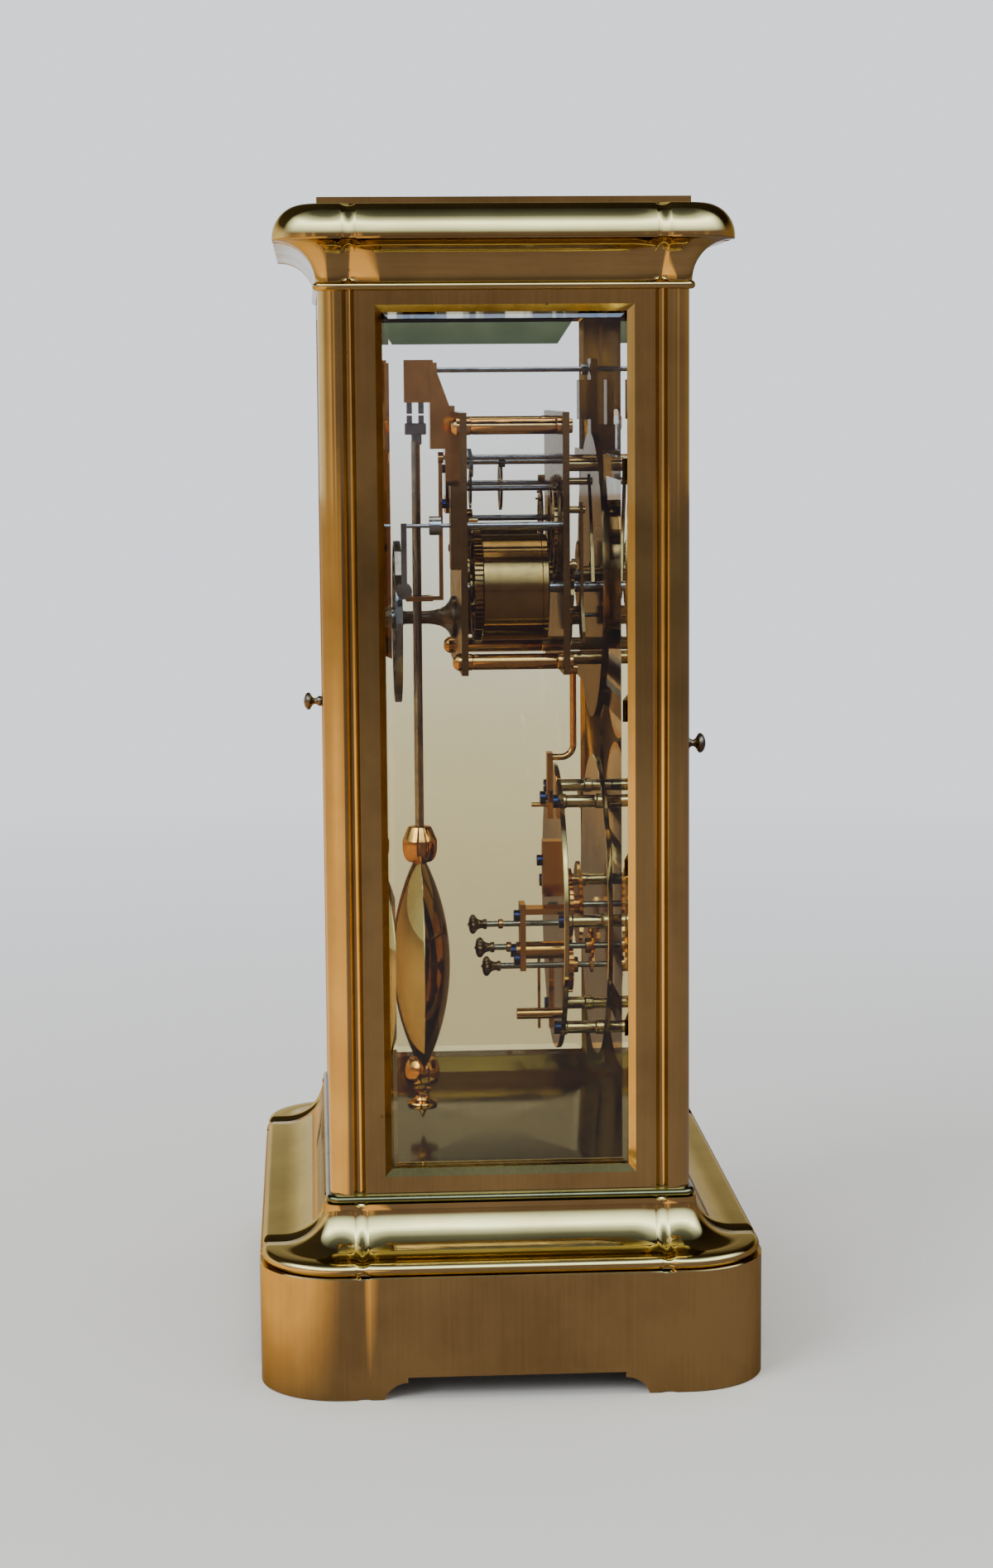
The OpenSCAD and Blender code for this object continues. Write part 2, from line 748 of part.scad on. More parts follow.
module calendar_back_plate() in_case() {
  color(brass) {
    cal_plate(cal_back_y, cal_back_t, cal_back_r);
    cal_posts();
  }
}

module calendar_front_plate() in_case() color(brass) cal_plate(cal_front_y, cal_front_t, cal_front_r);

module cal_posts() {
  for (p = cal_pillars) {
    rod_y(p[0], cal_z + p[1], cal_back_y - cal_back_t, cal_front_y, 3);
    rod_y(p[0], cal_z + p[1], cal_back_y, dial_back, 1.6);
    rod_y(p[0], cal_z + p[1], cal_back_y + 1.6, cal_back_y, 2.6);
    rod_y(p[0], cal_z + p[1], cal_front_y - cal_front_t, dial_back, 2.4);
  }
}

module calendar_bracket() in_case() {
  color(gilt) {
    rod_y(-34, cal_z - 12, cal_back_y + 17, cal_back_y, 3.4);
    rod_y(-20, cal_z - 40, cal_back_y + 16, cal_back_y, 2.2);
    rod_y(4, cal_z + 40, cal_back_y + 8, cal_back_y, 0.9);
    translate([-16, cal_back_y, cal_z + 6]) cube([8, 5, 22]);
    translate([-46, cal_back_y + 14, cal_z - 18]) cube([10, 2.2, 26]);
    translate([-46, cal_back_y, cal_z + 4]) cube([10, 16.2, 2.2]);
    translate([8, cal_back_y, cal_z - 52]) cube([3, 1, 30]);
    translate([8, cal_back_y, cal_z - 22]) cube([3, 5.5, 1]);
    translate([8, cal_back_y + 4.5, cal_z - 52]) cube([3, 1, 31]);
  }
}

// Rod hanging from the movement, bent back over the plates into a slotted slider
module trip_lever() in_case() {
  bend = 5;
  slider_y = -22;
  rod_z = cal_z + 61;
  color(gilt) {
    translate([trip_x, slider_y - 4.5 - bend, rod_z + bend]) cylinder(h = 31, r = 1.3);
    rod_y(trip_x, rod_z + 35, slider_y - 7.8, slider_y - 11.2, 2.4);
    translate([trip_x, slider_y - 4.5, rod_z + bend]) rotate([90, 0, 90]) rotate([0, 0, 180])
      rotate_extrude(angle = 90) translate([bend, 0]) circle(1.3);
    rod_y(trip_x, rod_z, slider_y, slider_y - 4.5, 1.3);
    sheet_y(slider_y + 1, slider_y - 1.2) difference() {
      translate([trip_x - 3.5, rod_z - 24]) square([7, 26]);
      translate([trip_x, rod_z - 16]) square([2.6, 9], center = true);
    }
  }
}

module blue_screw(x, z, y, r) {
  rod_y(x, z, y + 2.2, y, r);
}

module calendar_screws() in_case() {
  color(blued) {
    blue_screw(-34, cal_z - 12, cal_back_y + 17, 2.6);
    blue_screw(-41, cal_z + 3, cal_back_y + 16.2, 2.2);
    blue_screw(-12, cal_z + 20, cal_back_y + 5, 2.2);
    blue_screw(-41, cal_z - 14, cal_back_y + 16.2, 2.4);
    rod_y(trip_x, cal_z + 45, -20.4, cal_back_y, 1.1);
    blue_screw(trip_x, cal_z + 45, -20.4, 2.6);
  }
}

module calendar_dial() in_case() {
  color(white) sheet_y(dial_back, dial_front) difference() {
    translate([0, cal_z]) circle(dial_r, $fn = 96);
    cal_bores(arbor_r + 0.3);
  }
}

// Pendulum and escapement

module pendulum_rod() in_case() {
  color(steel) {
    translate([-1.6, pend_y - 4.2, pend_pivot_z - 11]) cube([3.2, 8.4, 8]);
    for (y = [-3.4, 1.2])
      translate([-0.1, pend_y + y, pend_pivot_z - 3]) cube([0.2, 2.2, 3]);
    translate([0, pend_y, 185]) cylinder(h = 159, r = rod_r);
    translate([0, pend_y, 77]) cylinder(h = 13, r = rod_r);
  }
}

module pendulum_bob() in_case() color(olive) pendulum_lens();

module bob_collars() in_case() {
  top = bob_z + bob_r;
  low = bob_z - bob_r;
  color(gilt) difference() {
    union() {
      translate([0, pend_y, top - 5]) rotate_extrude()
        polygon([[0, 0], [4.6, 0], [collar_r, 2.4], [collar_r, 9.5], [4.4, 14.6], [0, 14.6]]);
      translate([0, pend_y, low - 6]) rotate_extrude()
        polygon([[0, 0], [3.2, 0], [5, 2.2], [collar_r, 4.2], [collar_r, 8.6], [5.2, 11], [0, 11]]);
    }
    translate([0, pend_y, bob_z]) rotate([90, 0, 0])
      cylinder(h = 1.2, r = bob_r + 0.1, center = true, $fn = 96);
    pendulum_lens();
    for (z = [top + 3, 70]) translate([0, pend_y, z]) cylinder(h = 20, r = rod_r);
  }
}

module pendulum_lens() {
  arc_r = (bob_r * bob_r + bob_half * bob_half) / (2 * bob_half);
  translate([0, pend_y, bob_z]) rotate([90, 0, 0]) rotate_extrude($fn = 96)
    intersection() {
      translate([0, bob_half - arc_r]) circle(arc_r, $fn = 360);
      translate([0, arc_r - bob_half]) circle(arc_r, $fn = 360);
      translate([0, -bob_half]) square([bob_r - 0.35, 2 * bob_half]);
    }
}

module rating_nut() in_case() {
  color(gilt) translate([0, pend_y, 72.7]) difference() {
    rotate_extrude()
      polygon([[0, 0], [2.6, 4.2], [6, 4.7], [6, 8.6], [5, 9.6], [2.8, 10.4], [2.8, 12.6], [0, 12.6]]);
    translate([0, 0, 4.2]) cylinder(h = 20, r = rod_r + run_gap);
  }
}

// The crutch turns on the pallet arbor; its fork holds the pendulum rod
module crutch() in_case() {
  color(gilt) {
    rod_y(0, pallet_z, 20.3, 18.2, 2.2);
    translate([-0.8, 18.6, 283]) cube([1.6, 1.6, 54]);
    translate([-0.8, 18.6, 281.6]) cube([1.6, 5.4, 1.6]);
    translate([-4.2, 22.8, 281.4]) cube([8.4, 1.2, 2]);
    for (s = [-1, 1]) translate([s * 3.4 - 0.8, 23.9, 281.4]) cube([1.6, 9.6, 2]);
  }
}

// An anchor spanning the escape wheel, its tips held clear of the teeth
module pallets() in_case() {
  lean = atan2(escape[0], pallet_z - escape[1]);
  reach = norm([escape[0], pallet_z - escape[1]]);
  color(steel) {
    rod_y(0, pallet_z, 18.2, front_y, pivot_r);
    rod_y(0, pallet_z, back_in - 0.3, front_in + 0.5, 1.1);
    translate([0, 0, pallet_z]) sheet_y(8.4, 6.8) rotate(lean) union() {
      difference() {
        circle(9.4);
        circle(7);
        translate([-12, -1]) square([24, 12]);
        translate([0, -reach]) circle(9.2);
      }
      translate([-9.2, -2]) square([18.4, 3.4]);
    }
  }
}

// Going train

// Direction from one arbor to the next, and the module that puts two wheels in mesh
function aim(p, q) = atan2(q[1] - p[1], q[0] - p[0]);
function mesh_m(p, q, teeth) = 2 * norm(q - p) / teeth;
going = [-barrel_x, barrel_z];
striking = [barrel_x, barrel_z];
a_bar = aim(going, inter);
a_int = aim(inter, centre);
a_cen = aim(centre, third);
a_thi = aim(third, escape);
a_sbar = aim(striking, strike);
a_str = aim(strike, warn);
a_fly = aim(warn, fan);
m_int = mesh_m(inter, centre, 60);
m_cen = mesh_m(centre, third, 56);
m_thi = mesh_m(third, escape, 56);
m_can = 2 * (dial_z - minute_z) / 48;
m_hou = 2 * (dial_z - minute_z) / 50;
m_str = mesh_m(strike, warn, 52);
m_fly = mesh_m(warn, fan, 52);
m_date = 2 * (cal_z - set_z) / 70;

module barrel(p, next, aim_next) {
  translate([p[0], 0, p[1]]) {
    sheet_y(8.3, 5.3) gear_flat(66, mesh_m(p, next, 76), aim_next);
    rod_y(0, 0, 5.3, -20.1, drum_r);
    rod_y(0, 0, 9.6, 8.3, 6);
    rod_y(0, 0, -20.1, -21.2, 7);
    sheet_y(front_y - 1.4, front_y - 2.8) ratchet_flat(20, 7.4, 8.6);
    rod_y(0, 0, back_y, -46, wind_r);
    translate([-1.5, dial_front - 1, -1.5]) cube([3, -46 - dial_front + 1, 3]);
  }
}

// Ratchet teeth, steep on one side
module ratchet_flat(n, r0, r1) {
  polygon([for (i = [0 : n - 1]) for (k = [0 : 1])
    let (a = 360 * i / n + [0, 2][k], r = [r1, r0][k]) [r * cos(a), r * sin(a)]]);
}

module going_barrel() in_case() color(brass) barrel(going, inter, a_bar);

// An arbor between the plates with a thin pivot at each end
module train_arbor() {
  rod_y(0, 0, back_y, front_y, pivot_r);
  rod_y(0, 0, back_in - 0.3, front_in + 0.3, arbor_r);
}

module intermediate_wheel() in_case() {
  color(brass) translate([inter[0], 0, inter[1]]) {
    train_arbor();
    sheet_y(9, 5.6)
      gear_flat(10, mesh_m(going, inter, 76), gap_at(a_bar + 180, 10), 0.8, 1.2);
    sheet_y(-23, -24.2) difference() {
      gear_flat(48, m_int, a_int);
      crossings(3, 15, 5, 2.4);
    }
  }
}

module centre_wheel() in_case() {
  color(brass) translate([0, 0, dial_z]) {
    rod_y(0, 0, back_y, back_in - 1, pivot_r);
    rod_y(0, 0, back_in - 0.3, -58.5, arbor_r);
    sheet_y(-21.6, -24.4) gear_flat(12, m_int, gap_at(a_int + 180, 12), 0.8, 1.2);
    sheet_y(9.8, 9) difference() {
      gear_flat(48, m_cen, a_cen);
      crossings(3.2, 13.6, 5, 2.2);
    }
    sheet_y(-30, -32) gear_flat(12, m_can, -90, 0.8, 1.2);
    rod_y(0, 0, -32, -56.4, 2);
  }
}

module third_wheel() in_case() {
  color(brass) translate([third[0], 0, third[1]]) {
    train_arbor();
    sheet_y(10, 8.8) gear_flat(8, m_cen, gap_at(a_cen + 180, 8), 0.75, 1.2);
    sheet_y(10.8, 10) difference() {
      gear_flat(48, m_thi, a_thi);
      crossings(2.8, 11.6, 4, 1.8);
    }
  }
}

// Pointed escape teeth, each leaning forward
module escape_flat(n, r0, r1) {
  polygon([for (i = [0 : n - 1]) for (k = [0 : 1])
    let (a = 360 * i / n + [0, 5][k], r = [r0, r1][k]) [r * cos(a), r * sin(a)]]);
}

module escape_wheel() in_case() {
  color(brass) translate([escape[0], 0, escape[1]]) {
    train_arbor();
    sheet_y(10.9, 9.8) gear_flat(8, m_thi, gap_at(a_thi + 180, 8), 0.75, 1.2);
    sheet_y(8, 7.2) difference() {
      escape_flat(30, 6.6, 8);
      crossings(2.4, 5.6, 4, 1.4);
    }
  }
}

module minute_wheel() in_case() {
  color(brass) translate([0, 0, minute_z]) {
    rod_y(0, 0, front_y + 1.4, false_y - false_t, pivot_r);
    sheet_y(-30.3, -31.5) gear_flat(36, m_can, gap_at(90, 36));
    sheet_y(-31.5, -36.6) gear_flat(10, m_hou, 90, 0.8, 1.2);
  }
}

module hour_wheel() in_case() {
  color(brass) translate([0, 0, dial_z]) difference() {
    union() {
      sheet_y(-34.4, -35.6) gear_flat(40, m_hou, gap_at(-90, 40));
      rod_y(0, 0, -34.4, -55.2, 3.4);
    }
    rod_y(0, 0, -30, -60, 2 + run_gap);
  }
}

module hand_flat(long, wide, tail) {
  polygon([[-wide * 0.35, 0], [-wide * 0.5, long * 0.55], [-wide, long * 0.72], [0, long],
           [wide, long * 0.72], [wide * 0.5, long * 0.55], [wide * 0.35, 0],
           [wide * 0.5, -tail], [-wide * 0.5, -tail]]);
}

module minute_hand() in_case() {
  color(blued) translate([0, 0, dial_z]) difference() {
    union() {
      sheet_y(-56.4, -57.2) rotate(-50) hand_flat(50, 2.4, 8);
      rod_y(0, 0, -56.4, -57.4, 3.6);
    }
    rod_y(0, 0, -56, -58, arbor_r);
  }
}

module hour_hand() in_case() {
  color(blued) translate([0, 0, dial_z]) difference() {
    union() {
      sheet_y(-54.2, -55) rotate(55) hand_flat(36, 3.2, 6);
      rod_y(0, 0, -54, -55, 5);
    }
    rod_y(0, 0, -53, -56, 3.4);
  }
}

// Striking train

module strike_barrel() in_case() color(brass) barrel(striking, strike, a_sbar);

module strike_wheel() in_case() {
  color(brass) translate([strike[0], 0, strike[1]]) {
    train_arbor();
    sheet_y(9, 5.6)
      gear_flat(10, mesh_m(striking, strike, 76), gap_at(a_sbar + 180, 10), 0.8, 1.2);
    sheet_y(-21.4, -22.4) difference() {
      gear_flat(42, m_str, a_str);
      crossings(2.8, 9.4, 4, 2);
    }
    for (i = [0 : 7]) rotate([0, 45 * i, 0]) rod_y(10.2, 0, -20.4, -21.4, 0.45);
  }
}

module warning_wheel() in_case() {
  color(brass) translate([warn[0], 0, warn[1]]) {
    train_arbor();
    sheet_y(-20.6, -23.4) gear_flat(10, m_str, gap_at(a_str + 180, 10), 0.8, 1.2);
    sheet_y(-5, -6) difference() {
      gear_flat(44, m_fly, a_fly);
      crossings(2.4, 7.6, 4, 1.6);
    }
  }
}

module fly() in_case() {
  color(brass) translate([fan[0], 0, fan[1]]) {
    rod_y(0, 0, back_y, front_y, pivot_r);
    rod_y(0, 0, back_in - 0.3, front_in + 0.3, 1);
    sheet_y(-4.4, -7) gear_flat(8, m_fly, gap_at(a_fly + 180, 8), 0.75, 1.2);
    translate([-5.5, -23, -0.3]) cube([11, 14.6, 0.6]);
    translate([-5.5, -3.6, -0.3]) cube([11, 9.2, 0.6]);
  }
}

module hammer() in_case() {
  color(steel) translate([hammer_x, 0, hammer_z]) {
    rod_y(0, 0, 36.2, front_y, pivot_r);
    rod_y(0, 0, back_y + 2, front_in + 0.3, arbor_r);
    rod_y(0, 0, 25.3, 21, 3.6);
    translate([-1, 34, -25]) cube([2, 2.2, 26]);
    translate([5, 35.1, -25]) rotate([0, 90, 0]) cylinder(h = 11, r = 3, center = true);
  }
}

// Long arbor from the cock to the dial for fast and slow
module rating_arbor() in_case() {
  color(steel) {
    rod_y(0, rating_z, 21.6, -49, 1);
    rod_y(0, rating_z, false_y + 3, false_y + 0.4, 2.2);
    translate([-0.8, -54, rating_z - 0.8]) cube([1.6, 5.2, 1.6]);
  }
}

// Calendar arbors

module star_flat(n, r0, r1) {
  polygon([for (i = [0 : n - 1]) for (k = [0 : 1])
    let (a = 360 * (i + k / 2) / n, r = [r1, r0][k]) [r * cos(a), r * sin(a)]]);
}

module sub_hand(x, z, long, turn) {
  translate([x, 0, z]) sheet_y(dial_front - 1, dial_front - 1.7) union() {
    rotate(turn) hand_flat(long, 1.5, 4);
    circle(2);
  }
}

module day_work() in_case() {
  color(steel) {
    rod_y(-sub_x, sub_z, 6, dial_front - 1.7, arbor_r);
    setting_knob(-sub_x, sub_z, 9);
  }
  color(brass) translate([-sub_x, 0, sub_z]) sheet_y(-36.4, -37.6) star_flat(14, 7.4, 10.4);
  color(blued) sub_hand(-sub_x, sub_z, 12, 35);
}

module month_work() in_case() {
  color(steel) {
    rod_y(sub_x, sub_z, 6, dial_front - 1.7, arbor_r);
    setting_knob(sub_x, sub_z, 9);
  }
  color(brass) translate([sub_x, 0, sub_z]) sheet_y(-36.4, -37.6) star_flat(12, 7.4, 10.4);
  color(blued) sub_hand(sub_x, sub_z, 12, -60);
}

module date_work() in_case() {
  color(brass) translate([0, 0, cal_z]) {
    rod_y(0, 0, -22, dial_front - 3.2, arbor_r);
    sheet_y(-30, -31.4) difference() {
      gear_flat(40, m_date, -90);
      crossings(3, 10.4, 5, 2);
    }
    sheet_y(-33.5, -35) star_flat(31, 15.4, 17.4);
  }
  color(blued) translate([0, 0, cal_z]) sheet_y(dial_front - 2.2, dial_front - 3) union() {
    rotate(20) hand_flat(46, 1.8, 12);
    circle(3);
  }
}

module date_setter() in_case() {
  color(steel) {
    rod_y(0, set_z, 2, -46, arbor_r);
    setting_knob(0, set_z, 5);
  }
  color(brass) translate([0, 0, set_z]) sheet_y(-29.8, -31.6)
    gear_flat(30, m_date, gap_at(90, 30));
}

plinth();
base_moulding();
floor_plate();
corner_posts();
side_frame_left();
side_frame_right();
side_glass_left();
side_glass_right();
upper_astragal();
cornice();
top_plate();
top_glass();
back_plate();
front_plate();
movement_pillars();
suspension_cock();
suspension_spring();
gong_post();
gong_coil();
false_plate();
dial_bars();
time_dial();
dial_bezels();
calendar_back_plate();
calendar_front_plate();
trip_lever();
calendar_bracket();
calendar_screws();
calendar_dial();
front_door_frame();
front_door_glass();
front_door_knob();
back_door_frame();
back_door_glass();
back_door_knob();
pendulum_rod();
pendulum_bob();
bob_collars();
rating_nut();
crutch();
pallets();
centre_wheel();
minute_hand();
hour_wheel();
hour_hand();
minute_wheel();
going_barrel();
intermediate_wheel();
third_wheel();
escape_wheel();
strike_barrel();
strike_wheel();
warning_wheel();
fly();
hammer();
rating_arbor();
day_work();
month_work();
date_work();
date_setter();
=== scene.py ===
"""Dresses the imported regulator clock: polished brass case with bevelled panes, movement, calendar work, pendulum and
dials, on a pale studio floor. Metres, +Z up, dials facing -Y."""

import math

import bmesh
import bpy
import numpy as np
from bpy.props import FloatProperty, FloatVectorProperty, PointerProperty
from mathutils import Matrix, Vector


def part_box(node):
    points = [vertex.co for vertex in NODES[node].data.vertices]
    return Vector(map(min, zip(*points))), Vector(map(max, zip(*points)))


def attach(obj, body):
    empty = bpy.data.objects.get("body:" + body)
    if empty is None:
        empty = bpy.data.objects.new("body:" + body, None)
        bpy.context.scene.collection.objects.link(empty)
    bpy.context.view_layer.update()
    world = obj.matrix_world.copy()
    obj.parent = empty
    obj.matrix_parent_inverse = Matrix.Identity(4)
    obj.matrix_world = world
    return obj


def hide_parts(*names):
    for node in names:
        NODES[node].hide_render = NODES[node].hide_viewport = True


bl_info = {
    "name": "Regulator Clock Dressing",
    "version": (1, 0, 0),
    "blender": (4, 5, 0),
    "location": "View3D > Sidebar > Clock",
    "description": "Builds the visible surfaces, finishes and studio of a brass four-glass regulator clock",
    "category": "Object",
}

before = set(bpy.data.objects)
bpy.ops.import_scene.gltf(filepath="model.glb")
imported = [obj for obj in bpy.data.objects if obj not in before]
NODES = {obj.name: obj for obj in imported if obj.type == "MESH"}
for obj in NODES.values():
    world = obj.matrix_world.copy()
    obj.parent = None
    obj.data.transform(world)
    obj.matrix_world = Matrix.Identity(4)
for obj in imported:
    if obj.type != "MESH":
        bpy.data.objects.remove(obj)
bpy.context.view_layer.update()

MM = 0.001
WALL_LIGHT = 1.45  # strength of the pale air

# Places in millimetres
HANDS_Z = 291  # height of the hands' arbor
BARREL_X, BARREL_Z = 24.6, 288  # barrel arbors
PILLARS = [(x, z) for x in (-40, 40) for z in (260.5, 350)]  # pillars between the plates
HIGH_SCREWS, FLAT_SCREWS = ((-5.2, 319.5), (5.2, 319.5), (5.2, 333)), ((-40, 300), (40, 300))  # on the back plate
CALENDAR_POSTS = (-24, 45), (24, 45), (-50, 2), (50, 2), (-24, -45), (24, -45)  # from the calendar's middle
GONG_AT = (14, 0, 273.8)  # gong stand
NUT_FOOT = 72.7  # lower end of the rating nut
SMALL_X, SMALL_DROP = 26, 12  # day and month arbors, beside and below the date arbor
SETTER_Z = 134.5  # height of the date setter's arbor


def length(label, text, value, low=0.0):
    """A length property in metres."""
    return FloatProperty(name=label, description=text, default=value, min=low, max=1.0, unit="LENGTH", precision=5)


def colour(label, text, value):
    """A linear colour property."""
    return FloatVectorProperty(name=label, description=text, default=value, size=3, min=0.0, max=1.0, subtype="COLOR")


def dulled(label, value):
    """The colour of a finish where it has dulled."""
    return colour(label + ", darker", label + " where it has dulled or where oil has dried", value)


class CaseSizes(bpy.types.PropertyGroup):
    """Sizes of the case"""
    plinth_half_width: length("Plinth half width", "Half of the plinth's width across the dial side", 0.1318)
    plinth_half_depth: length("Plinth half depth", "Half of the plinth's depth, front to back", 0.0935)
    plinth_height: length("Plinth height", "Height of the plinth", 0.0455)
    plinth_wall: length("Plinth wall", "Wall of the hollow plinth", 0.006)
    corner_radius: length("Corner radius", "Radius of the plinth's rounded corners", 0.030)
    apron_height: length("Apron height", "Height of the flat part of the apron opening", 0.0081)
    apron_cove: length("Apron cove", "Radius of the cove at each end of the apron opening", 0.0092)
    apron_half: length("Apron half length", "Half length of the apron's flat part on the glass sides", 0.0398)
    base_hollow: length("Base hollow", "Distance of the base's opening inside the corners' centres", 0.006)
    base_lip: length("Base lip", "Thickness of the lip under the base cove", 0.0046)
    base_cove: length("Base cove", "Radius of the cove of the base moulding", 0.0162)
    frieze_cove: length("Frieze cove", "Radius of the cove under the top lip", 0.0145)
    ovolo: length("Ovolo", "Radius of the rounded edge above the top lip", 0.0117)
    band_width: length("Band width", "Width of the hollow ribbon bands", 0.0056)
    band_depth: length("Band depth", "Depth of the hollow ribbon bands", 0.0009)
    band_x: length("Band place, wide sides", "Distance of the bands from the middle on the dial side", 0.094)
    band_y: length("Band place, narrow sides", "Distance of the bands from the middle on the glass sides", 0.0557)
    case_half_width: length("Case half width", "Half width of the case over the corner columns", 0.1048)
    case_half_depth: length("Case half depth", "Half depth of the case over the corner columns", 0.067)
    column_height: length("Column height", "Height of the columns between the astragals", 0.330)
    column_radius: length("Column radius", "Radius of the round corner of a column", 0.0075)
    astragal: length("Astragal thickness", "Thickness of the two astragal plates", 0.003)
    bevel_band: length("Bevel band", "Height of the green band at the pane's top, frame part included", 0.0112)
    knob_place: length("Knob place", "Distance of each door knob from the middle of the door", 0.0856)
    knob_height: length("Knob height", "Height of the door knobs above the table", 0.2334)
    top_plate: length("Top plate thickness", "Thickness of the top plate", 0.0025)


class DialSizes(bpy.types.PropertyGroup):
    """Places of the two dials and their figures"""
    time_height: length("Time dial height", "Height of the time dial's middle", 0.291)
    calendar_height: length("Calendar dial height", "Height of the calendar dial's middle", 0.159)
    face: length("Dial face", "Place of the dials' front faces", -0.0516, -1.0)
    numeral_height: length("Numeral height", "Height of the hour numerals", 0.0122)
    numeral_ring: length("Numeral ring", "Radius at which the hour numerals stand", 0.0480)
    enamel_stroke: length("Enamel stroke", "Thickness of the fired numerals above the glaze", 0.00008)


class PendulumSizes(bpy.types.PropertyGroup):
    """Sizes of the pendulum"""
    place: length("Pendulum place", "Distance of the pendulum from the middle, towards the back", 0.029)
    bob_radius: length("Bob radius", "Radius of the lens bob", 0.0448)
    bob_half: length("Bob half thickness", "Half thickness of the bob at its middle", 0.0115)
    bob_height: length("Bob height", "Height of the bob's middle", 0.1372)
    collar_radius: length("Collar radius", "Radius of the collars above and below the bob", 0.0069)
    rod_radius: length("Rod radius", "Radius of the pendulum rod", 0.00175)


class FinishColours(bpy.types.PropertyGroup):
    """Colours of the finishes and the studio"""
    brass: colour("Case brass", "Polished case brass", (0.62, 0.43, 0.145))
    brass_deep: dulled("Case brass", (0.33, 0.215, 0.07))
    plate_brass: colour("Plate brass", "Movement plates and wheels", (0.36, 0.235, 0.085))
    plate_deep: dulled("Plate brass", (0.12, 0.075, 0.03))
    skeleton: colour("Calendar plates", "Bright polished brass of the calendar plates", (0.68, 0.58, 0.34))
    drum: colour("Barrel", "Unlacquered brass of the two barrels", (0.27, 0.165, 0.052))
    drum_deep: dulled("Barrel", (0.10, 0.062, 0.028))
    gilt: colour("Gilt brass", "Pillars, collars and levers", (0.66, 0.37, 0.12))
    gilt_deep: dulled("Gilt brass", (0.36, 0.18, 0.06))
    bronze: colour("Dark bronze", "Knobs and the gong stand", (0.19, 0.135, 0.08))
    bronze_deep: dulled("Dark bronze", (0.07, 0.05, 0.032))
    steel: colour("Polished steel", "Arbors and the pendulum rod", (0.33, 0.33, 0.34))
    steel_deep: dulled("Steel", (0.10, 0.09, 0.08))
    blue: colour("Blued steel", "Screws and hands", (0.022, 0.040, 0.175))
    blue_deep: dulled("Blued steel", (0.008, 0.010, 0.040))
    enamel: colour("Enamel", "White of the dials", (0.86, 0.85, 0.80))
    ink: colour("Fired black", "Numerals and rings", (0.012, 0.012, 0.014))
    # painted shade: this dark olive brass colour stands for the shade inside the case and the shaded wall it reflects
    tray: colour("Floor plate", "Toned brass of the floor plate inside the case", (0.155, 0.135, 0.055))
    tray_deep: dulled("Floor plate", (0.06, 0.055, 0.025))
    lens: colour("Bob", "Lacquered brass of the lens bob", (0.56, 0.56, 0.40))
    lens_deep: dulled("Bob", (0.30, 0.26, 0.14))
    glass: colour("Glass", "Tint of the panes", (0.965, 0.975, 0.955))
    # painted shade: this warm tint stands for the shade and the brass reflections seen through the lower panes
    glass_low_shade: colour("Glass, lower part", "Warmer tint of the panes below the movement", (0.80, 0.73, 0.50))
    # partly real and partly painted shade: the glass's own green edge, darkened as painted shade
    edge_green_shade: colour("Glass edge", "Green of the glass where it thins at the bevel", (0.040, 0.058, 0.030))
    floor: colour("Floor", "Pale studio floor", (0.74, 0.735, 0.72))
    wall: colour("Backdrop", "Pale air behind the clock", (0.86, 0.90, 0.97))
    shade: colour("Dark side of the room", "What the flat faces reflect from below the horizon", (0.235, 0.190, 0.210))
    # painted reflection: a warm floor colour that only the metal sees, standing for a wooden table
    warm_reflection: colour("Warm side of the floor", "What the left corners reflect from the floor", (1.0, 0.66, 0.36))
    window: colour("Window", "What the hollows reflect from above the horizon", (0.50, 0.70, 1.0))


def case():
    """The case's sizes."""
    return bpy.context.scene.clock_case


def dials():
    """The dials' places."""
    return bpy.context.scene.clock_dials


def swing():
    """The pendulum's sizes."""
    return bpy.context.scene.clock_pendulum


def tint(name):
    """A finish colour with alpha 1."""
    return (*getattr(bpy.context.scene.clock_finish, name), 1.0)


# Surfaces

def arc(x, y, r, a0, a1, n=12):
    """Points on the circle of radius r about (x, y), from angle a0 to a1 in degrees."""
    a = np.radians(np.linspace(a0, a1, n))
    return np.stack([x + r * np.cos(a), y + r * np.sin(a)], 1)


def grid_faces(nu, nv, close_u=False, close_v=False):
    """Quads joining each point of an nu by nv grid to its next in both directions."""
    i = np.arange(nu if close_u else nu - 1)[:, None]
    j = np.arange(nv if close_v else nv - 1)[None, :]
    i2, j2 = (i + 1) % nu, (j + 1) % nv
    quads = [i * nv + j, i2 * nv + j, i2 * nv + j2, i * nv + j2]
    return np.stack(np.broadcast_arrays(*quads), -1).reshape(-1, 4)


def as_grid(points, close_u=False, close_v=False):
    """Points of shape (u, v, 3) with the quads between them."""
    nu, nv = points.shape[:2]
    return points.reshape(-1, 3), grid_faces(nu, nv, close_u, close_v)


def turned(profile, axis="Z", at=(0, 0, 0), n=64):
    """A closed profile of (radius, height) turned about an axis: x = r cos a, y = r sin a, z = h, then laid
    along the axis and moved to its place."""
    p = np.asarray(profile, float)
    a = np.linspace(0, 2 * np.pi, n, endpoint=False)[:, None]
    r, h = p[None, :, 0], np.broadcast_to(p[None, :, 1], (n, len(p)))
    x, y = r * np.cos(a), r * np.sin(a)
    xyz = {"Z": (x, y, h), "Y": (x, h, y), "X": (h, x, y)}[axis]
    return as_grid(np.stack(xyz, -1) + np.asarray(at, float), close_u=True)


def at_depth(outline, y):
    """An outline of x and z laid at the depth y."""
    return np.stack([outline[:, 0], np.full(len(outline), y), outline[:, 1]], 1)


def slab(outline, y0, y1):
    """A flat piece: an outline in x and z carried from y0 to y1, with both ends drawn in to the outline's middle."""
    o = np.asarray(outline, float)
    mid = np.broadcast_to(o.mean(0), o.shape)
    return as_grid(np.stack([at_depth(p, y) for p, y in ((mid, y0), (o, y0), (o, y1), (mid, y1))]), close_v=True)


